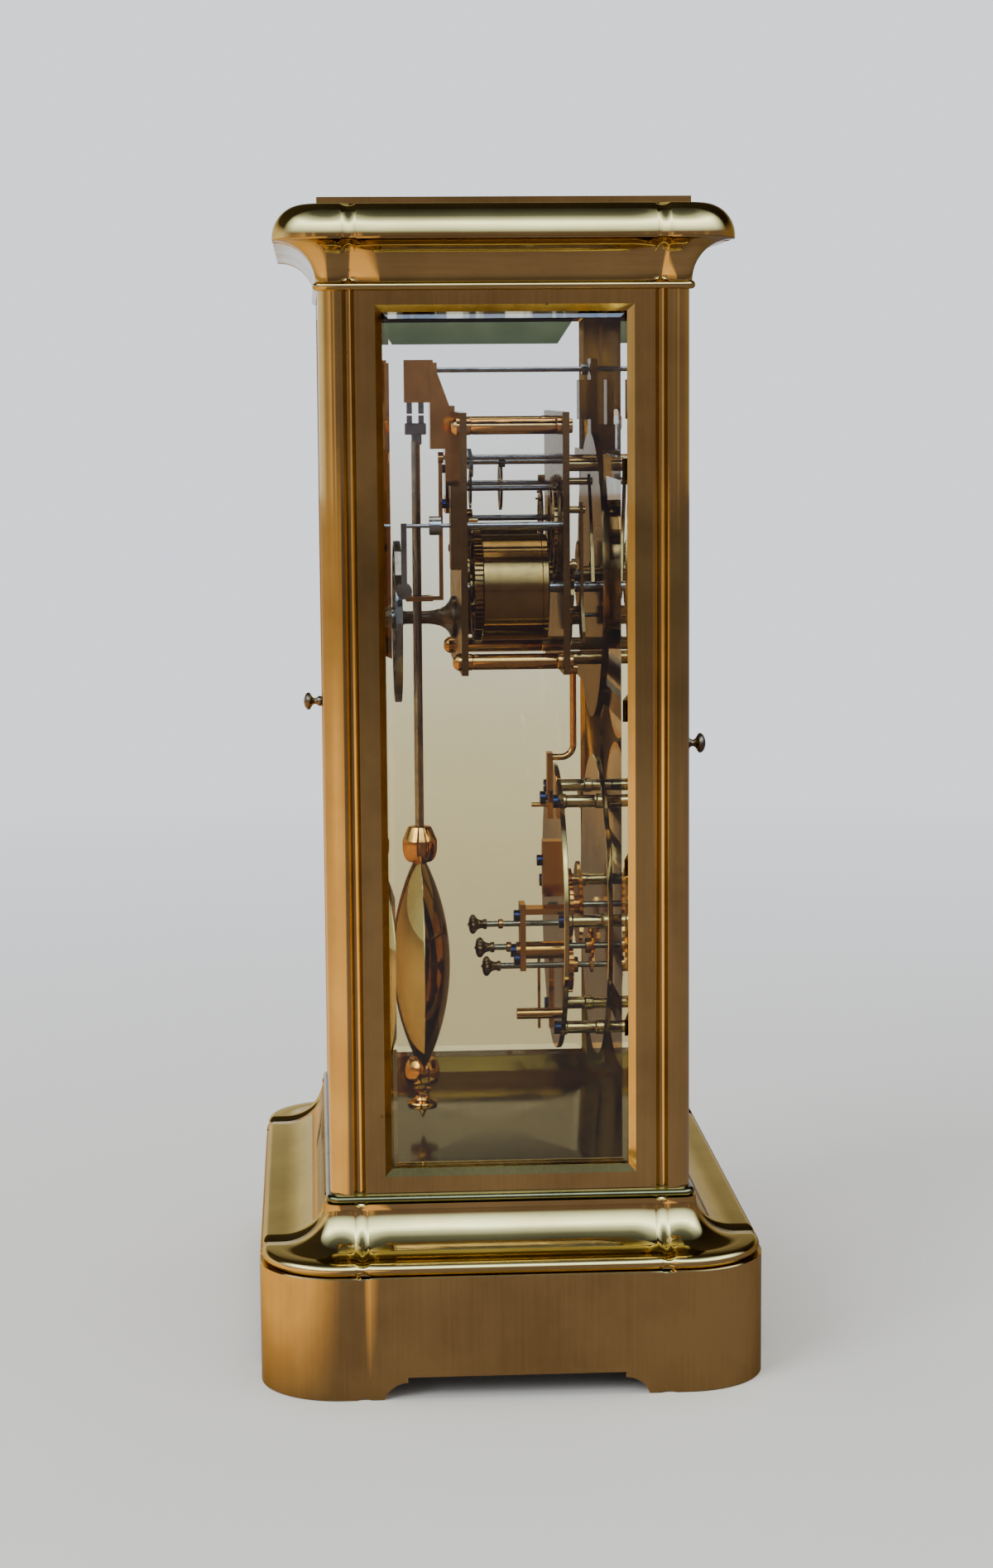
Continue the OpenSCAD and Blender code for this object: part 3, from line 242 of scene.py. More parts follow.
def turned_about(part, angle, centre):
    """Points turned about a line along Y through the centre: x' = x cos a - z sin a, z' = x sin a + z cos a."""
    c, s = math.cos(angle), math.sin(angle)
    p = part[0] - np.asarray(centre)
    q = p.copy()
    q[:, 0], q[:, 2] = c * p[:, 0] - s * p[:, 2], s * p[:, 0] + c * p[:, 2]
    return q + np.asarray(centre), part[1]


def new_mesh(name, points, faces, merge):
    """A mesh whose points nearer than merge are joined, with its normals turned outward."""
    mesh = bpy.data.meshes.new(name)
    mesh.from_pydata(points.tolist(), [], faces.tolist())
    bm = bmesh.new()
    bm.from_mesh(mesh)
    bmesh.ops.remove_doubles(bm, verts=bm.verts, dist=merge)
    bmesh.ops.dissolve_degenerate(bm, edges=bm.edges, dist=1e-7)
    bmesh.ops.recalc_face_normals(bm, faces=bm.faces)
    bm.to_mesh(mesh)
    bm.free()
    return mesh


def shown(name, data):
    """An object linked to the scene."""
    obj = bpy.data.objects.new(name, data)
    bpy.context.scene.collection.objects.link(obj)
    return obj


def piece(name, parts, finish, body, stands_for=(), sharp=32.0):
    """One mesh from several point and quad arrays, in a finish, with edges sharper than an angle kept crisp."""
    counts = np.cumsum([0] + [len(p) for p, _ in parts])
    quads = [f + c for (_, f), c in zip(parts, counts)]
    mesh = new_mesh(name, np.concatenate([p for p, _ in parts]), np.concatenate(quads), 2e-6)
    mesh.shade_smooth()
    mesh.set_sharp_from_angle(angle=math.radians(sharp))
    mesh.materials.append(FINISH[finish])
    obj = shown(name, mesh)
    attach(obj, body)
    if stands_for:
        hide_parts(*stands_for)
    return obj


def fitted(name, parts, finish, body, stands_for=(), sharp=32.0):
    """A piece whose points are given in millimetres."""
    return piece(name, [(p * MM, f) for p, f in parts], finish, body, stands_for, sharp)


def rod(x, z, y0, y1, r, ease=0.25, n=32):
    """A turned rod along Y between two depths, its ends eased."""
    e = min(ease, 0.4 * r)
    d = math.copysign(e, y1 - y0)
    return turned([(0, y0), (r - e, y0), (r, y0 + d), (r, y1 - d), (r - e, y1), (0, y1)], "Y", (x, 0, z), n)


def block(x, y, z, ease=0.2):
    """A straight bar with eased edges: an eight-cornered outline in x and z, drawn in a little at both ends."""
    def loop(inset):
        """The outline, drawn in by the inset."""
        x0, x1, z0, z1 = x[0] + inset, x[1] - inset, z[0] + inset, z[1] - inset
        return np.array([(x0 + ease, z0), (x1 - ease, z0), (x1, z0 + ease), (x1, z1 - ease),
                         (x1 - ease, z1), (x0 + ease, z1), (x0, z1 - ease), (x0, z0 + ease)])

    mid = np.broadcast_to([(x[0] + x[1]) / 2, (z[0] + z[1]) / 2], (8, 2))
    stack = [(mid, y[0]), (loop(ease), y[0]), (loop(0), y[0] + ease),
             (loop(0), y[1] - ease), (loop(ease), y[1]), (mid, y[1])]
    return as_grid(np.stack([at_depth(q, v) for q, v in stack]), close_v=True)


def washer(outline, hole, y0, y1, at=(0, 0)):
    """A flat ring: an outline in x and z with a round hole, from y0 to y1; each point of the hole lies on the line
    from the middle to its outline point."""
    o = np.asarray(outline, float)
    inner = hole * o / np.linalg.norm(o, axis=1, keepdims=True)
    loops = [(o, y0), (o, y1), (inner, y1), (inner, y0)]
    return as_grid(np.stack([at_depth(q + at, v) for q, v in loops], 1), close_u=True, close_v=True)


def ring_outline(r, n=128):
    """n points on a circle of radius r."""
    a = np.linspace(0, 2 * np.pi, n, endpoint=False)
    return np.stack([r * np.cos(a), r * np.sin(a)], 1)


def toothed(n, steps, phase=0.0):
    """An outline of n equal teeth; steps gives each tooth's points as share of a pitch and radius."""
    st = np.asarray(steps, float)
    a = (np.arange(n)[:, None] + st[None, :, 0]) * 2 * np.pi / n + math.radians(phase)
    r = np.broadcast_to(st[:, 1], a.shape)
    return np.stack([(r * np.cos(a)).ravel(), (r * np.sin(a)).ravel()], 1)


def gear(n, module, phase):
    """A gear outline: flanks from 1.25 modules inside the pitch radius n x module / 2 to a tip 0.95 outside it."""
    rp, half = n * module / 2, 0.215  # half a tooth as a share of the pitch
    flank = [(-1.15, -1.25), (-0.42, 0.95), (0.42, 0.95), (1.15, -1.25)]
    return toothed(n, [(a * half, rp + d * module) for a, d in flank], phase)


def slotted(x, z, y, r, h, angle):
    """A screw head standing from y towards y + h: its end face is a disc whose points sink by the slot's depth within
    the slot's width."""
    slot_w, slot_d, round_off = 0.55, 0.5, 0.18
    s, cut = math.copysign(1.0, h), slot_w / r / 2
    c, d = math.cos(angle), math.sin(angle)
    across = np.concatenate([np.linspace(-1, -cut - 1e-3, 8), [-cut, cut], np.linspace(cut + 1e-3, 1, 8)])
    gx, gz = np.meshgrid(np.linspace(-1, 1, 41), across, indexing="ij")
    px, pz = gx * np.sqrt(1 - gz ** 2 / 2) * r, gz * np.sqrt(1 - gx ** 2 / 2) * r
    rim = np.clip((px ** 2 + pz ** 2) / r ** 2, 0, 1)
    py = y + h - s * (slot_d * (np.abs(gz) <= cut + 1e-4) + round_off * rim ** 8)
    face = np.stack([px * c - pz * d + x, py, px * d + pz * c + z], -1)
    edge = np.concatenate([face[:, 0], face[-1, 1:], face[-2::-1, -1], face[0, -2:0:-1]])
    low = edge.copy()
    low[:, 1] = y
    mid = np.broadcast_to([x, y, z], edge.shape)
    return [as_grid(face), as_grid(np.stack([edge, low, mid]), close_v=True)]


def stations(extra=((), ()), n=14):
    """Stations round the rectangle of the corners' centres: place, outward direction, distance along the side,
    how far into a band, which is 1 at a band's middle and falls off as a parabola to 0 at its edges, and which side."""
    c = case()
    cx, cy = c.plinth_half_width - c.corner_radius, c.plinth_half_depth - c.corner_radius
    found = []
    for k in range(4):  # the four sides in turn, each with the corner after it
        reach, half, band = ((cx, cy, c.band_y), (cy, cx, c.band_x))[k % 2]
        span = np.linspace(-0.5, 0.5, 13) * c.band_width
        u = np.concatenate([np.linspace(-half, half, n), band + span, -band + span, extra[k % 2]])
        u = np.unique(np.round(u, 7))
        a = k * math.pi / 2
        out, along = np.array([math.cos(a), math.sin(a)]), np.array([-math.sin(a), math.cos(a)])
        dip = np.clip(1 - ((np.abs(u) - band) / (c.band_width / 2)) ** 2, 0, 1)
        side = np.full(len(u), k % 2)
        found.append((reach * out + u[:, None] * along, np.broadcast_to(out, (len(u), 2)), u, dip, side))
        th = a + np.linspace(0, math.pi / 2, n + 2)[1:-1]
        corner = np.broadcast_to(reach * out + half * along, (n, 2))
        found.append((corner, np.stack([np.cos(th), np.sin(th)], 1), np.full(n, 9.0), np.zeros(n), np.full(n, 2)))
    return [np.concatenate([r[i] for r in found]) for i in range(5)]


def carried(section, st, dips=True):
    """A section carried round the stations: place = share x corner rectangle + (radius - dip) x outward.
    Section rows are share in x, share in y, radius, height, takes dip."""
    s = np.asarray(section, float)
    base, out, _, dip, _ = st
    d = np.gradient(s[:, 2:4], axis=0)
    nrm = np.stack([d[:, 1], -d[:, 0]], 1)
    nrm /= np.maximum(np.linalg.norm(nrm, axis=1, keepdims=True), 1e-9)
    sink = dip[:, None] * s[None, :, 4] * (case().band_depth if dips else 0.0)
    reach = s[None, :, 2] - sink * nrm[None, :, 0]
    xy = base[:, None] * s[None, :, :2] + out[:, None] * reach[..., None]
    z = s[None, :, 3] - sink * nrm[None, :, 1]
    return as_grid(np.concatenate([xy, z[..., None]], 2), close_u=True)


def rows(points, share=(1, 1), dip=1):
    """Section rows for points of radius and height."""
    p = np.asarray(points, float).reshape(-1, 2)
    k = np.broadcast_to([share[0], share[1]], (len(p), 2))
    return np.concatenate([k, p, np.full((len(p), 1), dip)], 1)


# Finishes

def new_group(name, ins, outs):
    """An empty shader node group; ins and outs name its sockets with their kinds: Vector, Color or Float."""
    g = bpy.data.node_groups.new(name, "ShaderNodeTree")
    for side, sockets in (("INPUT", ins), ("OUTPUT", outs)):
        for label, kind in sockets.items():
            g.interface.new_socket(label, in_out=side, socket_type="NodeSocket" + kind)
    return g, g.nodes.new("NodeGroupInput").outputs, g.nodes.new("NodeGroupOutput")


def feed(tree, node, values):
    """Links a node's inputs to sockets, or sets them to fixed values."""
    for key, value in values.items():
        if isinstance(value, bpy.types.NodeSocket):
            tree.links.new(value, node.inputs[key])
        else:
            node.inputs[key].default_value = value
    return node


def add(tree, kind, values=None, **settings):
    """A node with its properties set and its inputs fed."""
    n = tree.nodes.new(kind)
    for key, value in settings.items():
        setattr(n, key, value)
    return feed(tree, n, values or {})


def maths(tree, op, a, b=0.0, clamp=False):
    """One step of arithmetic."""
    return add(tree, "ShaderNodeMath", {0: a, 1: b}, operation=op, use_clamp=clamp).outputs[0]


def arithmetic(op):
    """The function that adds a step of one kind; more and less give 1 where they hold and 0 elsewhere."""
    return lambda tree, a, b, clamp=False: maths(tree, op, a, b, clamp)


plus, minus, times, more, less = map(arithmetic, ("ADD", "SUBTRACT", "MULTIPLY", "GREATER_THAN", "LESS_THAN"))


def spread(tree, value, low, high, to_low=0.0, to_high=1.0):
    """Maps a value from one range to another, clamped."""
    return add(tree, "ShaderNodeMapRange", {0: value, 1: low, 2: high, 3: to_low, 4: to_high}).outputs[0]


def blend(tree, factor, a, b, kind="MIX"):
    """The colour a, changed by the colour b as far as the factor says."""
    return add(tree, "ShaderNodeMix", {0: factor, 6: a, 7: b}, data_type="RGBA", blend_type=kind).outputs[2]


def noise(tree, where, scale, detail=3.0, rough=0.55):
    """Soft noise about 0.5, scale waves to the metre."""
    values = {"Vector": where, "Scale": scale, "Detail": detail, "Roughness": rough}
    return add(tree, "ShaderNodeTexNoise", values).outputs[0]


def split(tree, vector):
    """The x, y and z of a vector."""
    return add(tree, "ShaderNodeSeparateXYZ", {0: vector}).outputs


def polish_group():
    """Hand-polished metal: slow clouds of dulling, long polishing lines along the grain, small dark specks and smears
    that change the gloss."""
    g, given, result = new_group(
        "Hand polish",
        {"Vector": "Vector", "Bright": "Color", "Dull": "Color", "Grain": "Vector", "Cloud Scale": "Float",
         "Gloss": "Float", "Smear": "Float", "Specks": "Float", "Line Depth": "Float"},
        {"Color": "Color", "Roughness": "Float", "Height": "Float"})
    where = given["Vector"]
    cloud = noise(g, where, given["Cloud Scale"], 5.0, 0.6)
    along = add(g, "ShaderNodeVectorMath", {0: where, 1: given["Grain"]}, operation="MULTIPLY").outputs[0]
    lines = noise(g, along, 1.0, 4.0, 0.65)
    mask = spread(g, plus(g, times(g, cloud, 0.72), times(g, lines, 0.28)), 0.40, 0.66)
    base = blend(g, times(g, mask, 0.62), given["Bright"], given["Dull"])
    cells = add(g, "ShaderNodeTexVoronoi", {"Vector": where, "Scale": 85.0, "Randomness": 1.0})
    pick = spread(g, noise(g, where, 31.0, 1.0), 0.60, 0.66)
    dots = times(g, spread(g, cells.outputs["Distance"], 0.045, 0.075, 1.0, 0.0), pick)
    dots = times(g, dots, given["Specks"], True)
    smears = spread(g, noise(g, where, 46.0, 4.0, 0.7), 0.42, 0.70)
    rough = plus(g, given["Gloss"], times(g, smears, given["Smear"]))
    rough = plus(g, rough, times(g, minus(g, lines, 0.5), 0.06))
    height = plus(g, times(g, lines, given["Line Depth"]), times(g, noise(g, where, 900.0, 2.0), 0.12))
    feed(g, result, {
        "Color": blend(g, dots, base, (0.045, 0.030, 0.016, 1)),
        "Roughness": plus(g, rough, times(g, dots, 0.35), True),
        "Height": minus(g, height, times(g, dots, 0.6))})
    return g


def arbor_group():
    """A mask that is 1 within a radius of an axis along Y, and 0 outside it."""
    g, given, result = new_group(
        "Arbor zone", {"Vector": "Vector", "Axis X": "Float", "Axis Z": "Float", "Radius": "Float"}, {"Arbor": "Float"})
    x, _, z = split(g, given["Vector"])
    dx, dz = minus(g, x, given["Axis X"]), minus(g, z, given["Axis Z"])
    away = maths(g, "SQRT", plus(g, times(g, dx, dx), times(g, dz, dz)))
    feed(g, result, {"Arbor": less(g, away, given["Radius"])})
    return g


GROUPS = {}


def shared(name, maker):
    """A node group made once and used by many materials."""
    if name not in GROUPS:
        GROUPS[name] = maker()
    return GROUPS[name]


def start_material(name):
    """A material with its Principled shader and Object coordinates."""
    m = bpy.data.materials.new(name)
    m.use_nodes = True
    t = m.node_tree
    return m, t, t.nodes["Principled BSDF"], add(t, "ShaderNodeTexCoord").outputs["Object"]


def cover(t, shader, colour_out, rough, height, strength, distance):
    """Gives a shader its colour and roughness, and a bump of the height."""
    bump = add(t, "ShaderNodeBump", {"Height": height, "Strength": strength, "Distance": distance})
    feed(t, shader, {"Base Color": colour_out, "Roughness": rough, "Normal": bump.outputs[0]})


def metal(name, bright, dull, grain, cloud, gloss, smear, specks, depth, edge=(1, 1, 1), arbor=None, front=None):
    """A polished metal. Grain stretches the polishing lines and edge tints the reflections at a grazing angle. Within
    arbor, an axis and a radius, the metal is steel; in front of the depth given as front a darker brown is painted on
    as shade."""
    m, t, shader, where = start_material(name)
    values = {"Vector": where, "Bright": tint(bright), "Dull": tint(dull), "Grain": grain, "Cloud Scale": cloud,
              "Gloss": gloss, "Smear": smear, "Specks": specks, "Line Depth": depth}
    polish = add(t, "ShaderNodeGroup", values, node_tree=shared("polish", polish_group))
    colour_out = polish.outputs["Color"]
    if arbor:
        values = {"Vector": where, "Axis X": arbor[0], "Axis Z": arbor[1], "Radius": arbor[2]}
        zone = add(t, "ShaderNodeGroup", values, node_tree=shared("arbor", arbor_group))
        steel = blend(t, noise(t, where, 260.0, 3.0), tint("steel"), tint("steel_deep"))
        colour_out = blend(t, zone.outputs["Arbor"], colour_out, steel)
    if front is not None:
        # painted shade: the bob's front face gets a darker brown so that side reads as shaded
        front_shade = blend(t, noise(t, where, 30.0, 3.0), (0.19, 0.115, 0.045, 1), (0.32, 0.21, 0.08, 1))
        colour_out = blend(t, less(t, split(t, where)[1], front), colour_out, front_shade)
    cover(t, shader, colour_out, polish.outputs["Roughness"], polish.outputs["Height"], 0.35, 0.02 * MM)
    shader.inputs["Metallic"].default_value = 1.0
    shader.inputs["Specular Tint"].default_value = (*edge, 1.0)
    return m


def glass_material():
    """Clear plate glass with faint wavy polish; below the movement a warm tint is painted in as the shade and the brass
    reflections seen through the lower panes. At the top of the far pane the bevel shows the glass's own green edge,
    darkened with painted shade, and at the top of the near pane painted reflections in dark and light spots. Light
    passes it without a shadow."""
    m, t, shader, where = start_material("Bevelled plate glass")
    far_pane, near_pane, near_band, shade_below, clear_above = 0.05, -0.05, 0.0047, 0.235, 0.365
    dark_reflection, light_reflection, pale_edge_green = (0.07, 0.05, 0.028, 1), (0.55, 0.50, 0.34, 1), (0.16, 0.19, 0.10, 1)
    x, y, z = split(t, where)
    band, top = case().bevel_band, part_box("side_glass_right")[1]
    # painted shade: the panes turn warmer below the movement
    low = spread(t, plus(t, z, times(t, noise(t, where, 14.0, 2.0), 0.03)), shade_below, clear_above, 1.0, 0.0)
    above = minus(t, z, top[2] - band)
    beside = maths(t, "MAXIMUM", times(t, minus(t, maths(t, "ABSOLUTE", y), top[1] - band), 1.5), 0.0)
    far = times(t, more(t, above, beside), more(t, x, far_pane))
    # partly painted shade: the far pane's top bevel band is dark green, the green its own, the darkness painted shade
    green = times(t, spread(t, above, 0.0, band, 0.25, 1.0), noise(t, where, 60.0, 1.0))
    near = times(t, more(t, z, top[2] - near_band), less(t, x, near_pane))
    along = add(t, "ShaderNodeCombineXYZ", {1: y}).outputs[0]
    # painted reflection: dark and light spots along the near pane's top bevel stand for reflections seen there
    reflection_patches = spread(t, noise(t, along, 95.0, 2.0), 0.50, 0.56)
    near_reflection = blend(t, reflection_patches, dark_reflection, light_reflection)
    colour_out = blend(t, near, blend(t, low, tint("glass"), tint("glass_low_shade")), near_reflection)
    colour_out = blend(t, far, colour_out, blend(t, green, tint("edge_green_shade"), pale_edge_green))
    cover(t, shader, colour_out, 0.0, noise(t, where, 9.0, 1.0), 0.25, 0.0006)
    shader.inputs["IOR"].default_value = 1.52
    shader.inputs["Transmission Weight"].default_value = 1.0
    clear = add(t, "ShaderNodeBsdfTransparent").outputs[0]
    path = add(t, "ShaderNodeLightPath").outputs
    either = maths(t, "MAXIMUM", path["Is Shadow Ray"], path["Is Diffuse Ray"])
    mix = add(t, "ShaderNodeMixShader", {0: either, 1: shader.outputs[0], 2: clear})
    t.links.new(mix.outputs[0], t.nodes["Material Output"].inputs["Surface"])
    return m


def enamel_material():
    """White enamel over copper: a soft glaze with slow waves, faint yellowing and a few tiny pits; its back is dark."""
    m, t, shader, where = start_material("White enamel")
    yellowed, pitted = (0.74, 0.70, 0.58, 1), (0.2, 0.17, 0.13, 1)
    copper, copper_light = (0.055, 0.036, 0.022, 1), (0.10, 0.06, 0.03, 1)
    age = spread(t, noise(t, where, 26.0, 4.0), 0.45, 0.75, 0.0, 0.35)
    cells = add(t, "ShaderNodeTexVoronoi", {"Vector": where, "Scale": 240.0})
    pits = spread(t, cells.outputs["Distance"], 0.03, 0.05, 1.0, 0.0)
    some = times(t, pits, spread(t, noise(t, where, 70.0, 1.0), 0.62, 0.68))
    face = blend(t, times(t, some, 0.5), blend(t, age, tint("enamel"), yellowed), pitted)
    back = blend(t, age, copper, copper_light)
    back_starts = dials().face + 0.0012
    rough = spread(t, noise(t, where, 60.0, 2.0), 0.3, 0.7, 0.10, 0.22)
    colour_out = blend(t, more(t, split(t, where)[1], back_starts), face, back)
    cover(t, shader, colour_out, rough, noise(t, where, 55.0, 2.0), 0.2, 0.0002)
    shader.inputs["Coat Weight"].default_value = 0.5
    shader.inputs["Coat Roughness"].default_value = 0.05
    return m


def ink_material():
    """Fired black with a slightly uneven gloss."""
    m, t, shader, where = start_material("Fired black")
    feed(t, shader, {
        "Base Color": blend(t, noise(t, where, 500.0, 2.0), tint("ink"), (0.035, 0.034, 0.036, 1)),
        "Roughness": spread(t, noise(t, where, 300.0, 2.0), 0.3, 0.7, 0.2, 0.4)})
    return m


# Name, bright and dull colour, grain, scale of the clouds, gloss, smear, specks, depth of the lines and edge tint
METALS = {
    "case": ("Satin case brass", "brass", "brass_deep", (700, 700, 16), 22, 0.06, 0.05, 0.5, 0.5, (0.8, 0.72, 0.5)),
    "column": ("Column brass", "brass", "brass_deep", (1100, 1100, 7), 22, 0.07, 0.05, 0.5, 0.7),
    "moulding": ("Moulding brass", "brass", "brass_deep", (30, 30, 900), 16, 0.07, 0.05, 0.35, 0.5, (0.72, 0.66, 0.46)),
    "tray": ("Floor plate brass", "tray", "tray_deep", (26, 700, 26), 22, 0.09, 0.10, 0.5, 0.4),
    "plate": ("Movement plate brass", "plate_brass", "plate_deep", (900, 60, 20), 30, 0.08, 0.07, 0.4, 0.4,
              (0.26, 0.19, 0.10)),
    "drum": ("Barrel brass", "drum", "drum_deep", (40, 600, 40), 60, 0.11, 0.08, 0.45, 0.5, (0.6, 0.42, 0.2)),
    "skeleton": ("Calendar plate brass", "skeleton", "brass_deep", (900, 60, 20), 30, 0.06, 0.05, 0.3, 0.4),
    "gilt": ("Gilt brass", "gilt", "gilt_deep", (500, 500, 500), 90, 0.08, 0.06, 0.2, 0.3, (0.8, 0.6, 0.35)),
    "bronze": ("Dark bronze", "bronze", "bronze_deep", (400, 400, 400), 150, 0.24, 0.16, 0.2, 0.6),
    "steel": ("Polished steel", "steel", "steel_deep", (700, 20, 700), 120, 0.12, 0.12, 0.15, 0.4, (0.6, 0.6, 0.62)),
    "blue": ("Blued steel", "blue", "blue_deep", (300, 300, 300), 200, 0.16, 0.10, 0.0, 0.3),
}
BOB = ("Bob brass", "lens", "lens_deep", (24, 24, 24), 26, 0.05, 0.05, 0.3, 0.2, (0.75, 0.62, 0.4))
TRAIN = ("plate_brass", "plate_deep", (400, 400, 400), 60, 0.12, 0.10, 0.3, 0.3, (0.5, 0.36, 0.18))

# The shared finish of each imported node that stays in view
PLAIN = {
    "case": ["side_frame_left", "side_frame_right", "top_plate", "front_door_frame", "back_door_frame"],
    "plate": ["back_plate", "front_plate", "false_plate", "dial_bars"],
    "gilt": ["suspension_cock", "dial_bezels", "calendar_bracket", "trip_lever", "crutch"],
    "steel": ["suspension_spring", "gong_coil", "pallets", "hammer", "rating_arbor"],
    "blue": ["calendar_screws", "minute_hand", "hour_hand"],
    "glass": ["side_glass_left", "side_glass_right", "top_glass", "front_door_glass", "back_door_glass"],
    "enamel": ["time_dial", "calendar_dial"],
}
# Brass wheels that stay in view: place of the steel arbor in x and z, and its radius, in millimetres
WHEELS = {
    "centre_wheel": (0, HANDS_Z, 2.1), "hour_wheel": (0, HANDS_Z, 0.5), "minute_wheel": (0, 275, 1.0),
    "intermediate_wheel": (-14, 310.3, 1.9), "third_wheel": (8, 310, 1.6), "escape_wheel": (2.5, 325.4, 1.6),
    "strike_wheel": (26, 312.65, 1.9), "warning_wheel": (22, 326.6, 1.6), "fly": (13.5, 335.3, 1.3),
}
FINISH = {}


def dress(node, material):
    """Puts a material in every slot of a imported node."""
    mesh = NODES[node].data
    if len(mesh.materials) == 0:
        mesh.materials.append(material)
    for k in range(len(mesh.materials)):
        mesh.materials[k] = material


class CLOCK_OT_finishes(bpy.types.Operator):
    """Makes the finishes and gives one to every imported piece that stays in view"""
    bl_idname = "clock.finishes"
    bl_label = "Finishes"

    def execute(self, context):
        FINISH.update({finish: metal(*row) for finish, row in METALS.items()})
        FINISH.update(bob=metal(*BOB, front=swing().place), glass=glass_material(), enamel=enamel_material(),
                      ink=ink_material())
        for finish, nodes in PLAIN.items():
            for n in nodes:
                dress(n, FINISH[finish])
        for n, arbor in WHEELS.items():
            dress(n, metal("Train " + n.replace("_", " "), *TRAIN, arbor=[v * MM for v in arbor]))
        return {"FINISHED"}


class CLOCK_OT_case_mouldings(bpy.types.Operator):
    """Carries the base, floor plate, astragal and cornice sections round the rounded rectangle, sinking base and
    cornice at the ribbon bands"""
    bl_idname = "clock.case_mouldings"
    bl_label = "Case mouldings"

    def execute(self, context):
        c = case()
        cy = c.plinth_half_depth - c.corner_radius
        cx = c.plinth_half_width - c.corner_radius
        zp = c.plinth_height
        zb = zp + c.base_lip + c.base_cove
        zf = zb + c.astragal
        zh = zf + c.column_height
        zc = zh + c.astragal
        column_reach = c.case_half_depth - cy
        st = stations()

        # Base: a half-round lip on the plinth, then a cove up to the case
        lip = c.base_lip / 2
        lip_x = c.corner_radius - 0.9 * MM - lip
        r0 = column_reach + 2 * MM
        open_in = ((cx - c.base_hollow) / cx, (cy - c.base_hollow) / cy)
        base = np.concatenate([
            rows([(0, zb), (0, zp)], open_in, 0), rows([(lip_x, zp)], dip=0),
            rows(arc(lip_x, zp + lip, lip, -90, 90, 15)), rows([(r0 + c.base_cove + 0.2 * MM, zp + c.base_lip)]),
            rows(arc(r0 + c.base_cove, zb, c.base_cove, 270, 180, 26)),
            rows([(r0 - 1 * MM, zb)], dip=0), rows([(0, zb)], open_in, 0)])
        piece("base_moulding_surface", [carried(base, st)], "moulding", "case", ["base_moulding"])

        # Floor plate and upper astragal: plates with a half-round edge, the upper one open inside
        t = c.astragal / 2
        ra = column_reach + 1.6 * MM - t
        tray = np.concatenate([
            rows([(0, zb)], (0, 0), 0), rows(arc(ra, zb + t, t, -90, 90, 13)), rows([(0, zf)], (0, 0), 0)])
        piece("floor_plate_surface", [carried(tray, st, False)], "tray", "case", ["floor_plate"])

        hole = ((cx - 13.8 * MM) / cx, (cy - 13.5 * MM) / cy)
        ring = np.concatenate([
            rows([(0, zc), (0, zh)], hole, 0), rows(arc(ra, zh + t, t, -90, 90, 13)), rows([(0, zc)], hole, 0)])
        ring = [carried(ring, st, False)]
        piece("upper_astragal_surface", ring, "moulding", "case", ["upper_astragal"])

        # Cornice: a cove out to a lip with an eased lower edge, then the ovolo in to the top
        f0 = column_reach + 0.5 * MM
        zl = zc + c.frieze_cove
        lip_r = f0 + c.frieze_cove + 0.8 * MM
        lip_top, ease = zl + 1.1 * MM, 0.3 * MM
        zt = lip_top + c.ovolo
        corn = np.concatenate([
            rows([(0, zt), (0, zc)], hole, 0), rows([(f0 - 1 * MM, zc)], dip=0),
            rows(arc(f0 + c.frieze_cove, zc, c.frieze_cove, 180, 90, 24)),
            rows(arc(lip_r - ease, zl + ease, ease, -90, 0, 4)), rows([(lip_r, lip_top)]),
            rows(arc(lip_r - c.ovolo, lip_top, c.ovolo, 2, 90, 24)), rows([(0, zt)], hole, 0)])
        piece("cornice_surface", [carried(corn, st)], "moulding", "case", ["cornice"])
        return {"FINISHED"}


class CLOCK_OT_plinth(bpy.types.Operator):
    """Makes the hollow plinth: its wall's lower edge follows the apron, h = flat height inside the flat part, then the
    cove's circle, then the table"""
    bl_idname = "clock.plinth"
    bl_label = "Plinth"

    def execute(self, context):
        c = case()
        wide = c.apron_half + c.plinth_half_width - c.plinth_half_depth
        drop = c.apron_cove / 3
        reach = math.sqrt(c.apron_cove ** 2 - drop ** 2)
        step = 2e-6

        def marks(half):
            """Places along a side where the apron's edge is followed: both sides of its step, then along its cove."""
            u = np.concatenate([[half - step, half + step], half + reach * np.sin(np.linspace(0, math.pi / 2, 16))])
            return np.concatenate([u, -u])

        st = stations(extra=(marks(c.apron_half), marks(wide)))
        half = np.where(st[4] == 0, c.apron_half, wide)
        over = np.abs(st[2]) - half
        cove = np.sqrt(np.clip(c.apron_cove ** 2 - over ** 2, 0, None)) - drop
        foot = np.where(over < 0, c.apron_height, np.clip(cove, 0, None))
        R, z, w, b = c.corner_radius, c.plinth_height, c.plinth_wall, 0.35 * MM  # b is the eased upper edge
        section = np.concatenate([
            rows([(0, z - w)], (0, 0), 0), rows([(R - w, z - w)], dip=0), rows([(R - w, 0)], dip=0),
            rows([(R, 0), (R, 0.5 * z), (R, z - b), (R - b, z)]), rows([(0, z)], (0, 0), 0)])
        pts, faces = carried(section, st)
        grid = pts.reshape(len(foot), len(section), 3)
        grid[..., 2] = np.maximum(grid[..., 2], foot[:, None])
        piece("plinth_surface", [(grid.reshape(-1, 3), faces)], "case", "case", ["plinth"])
        return {"FINISHED"}


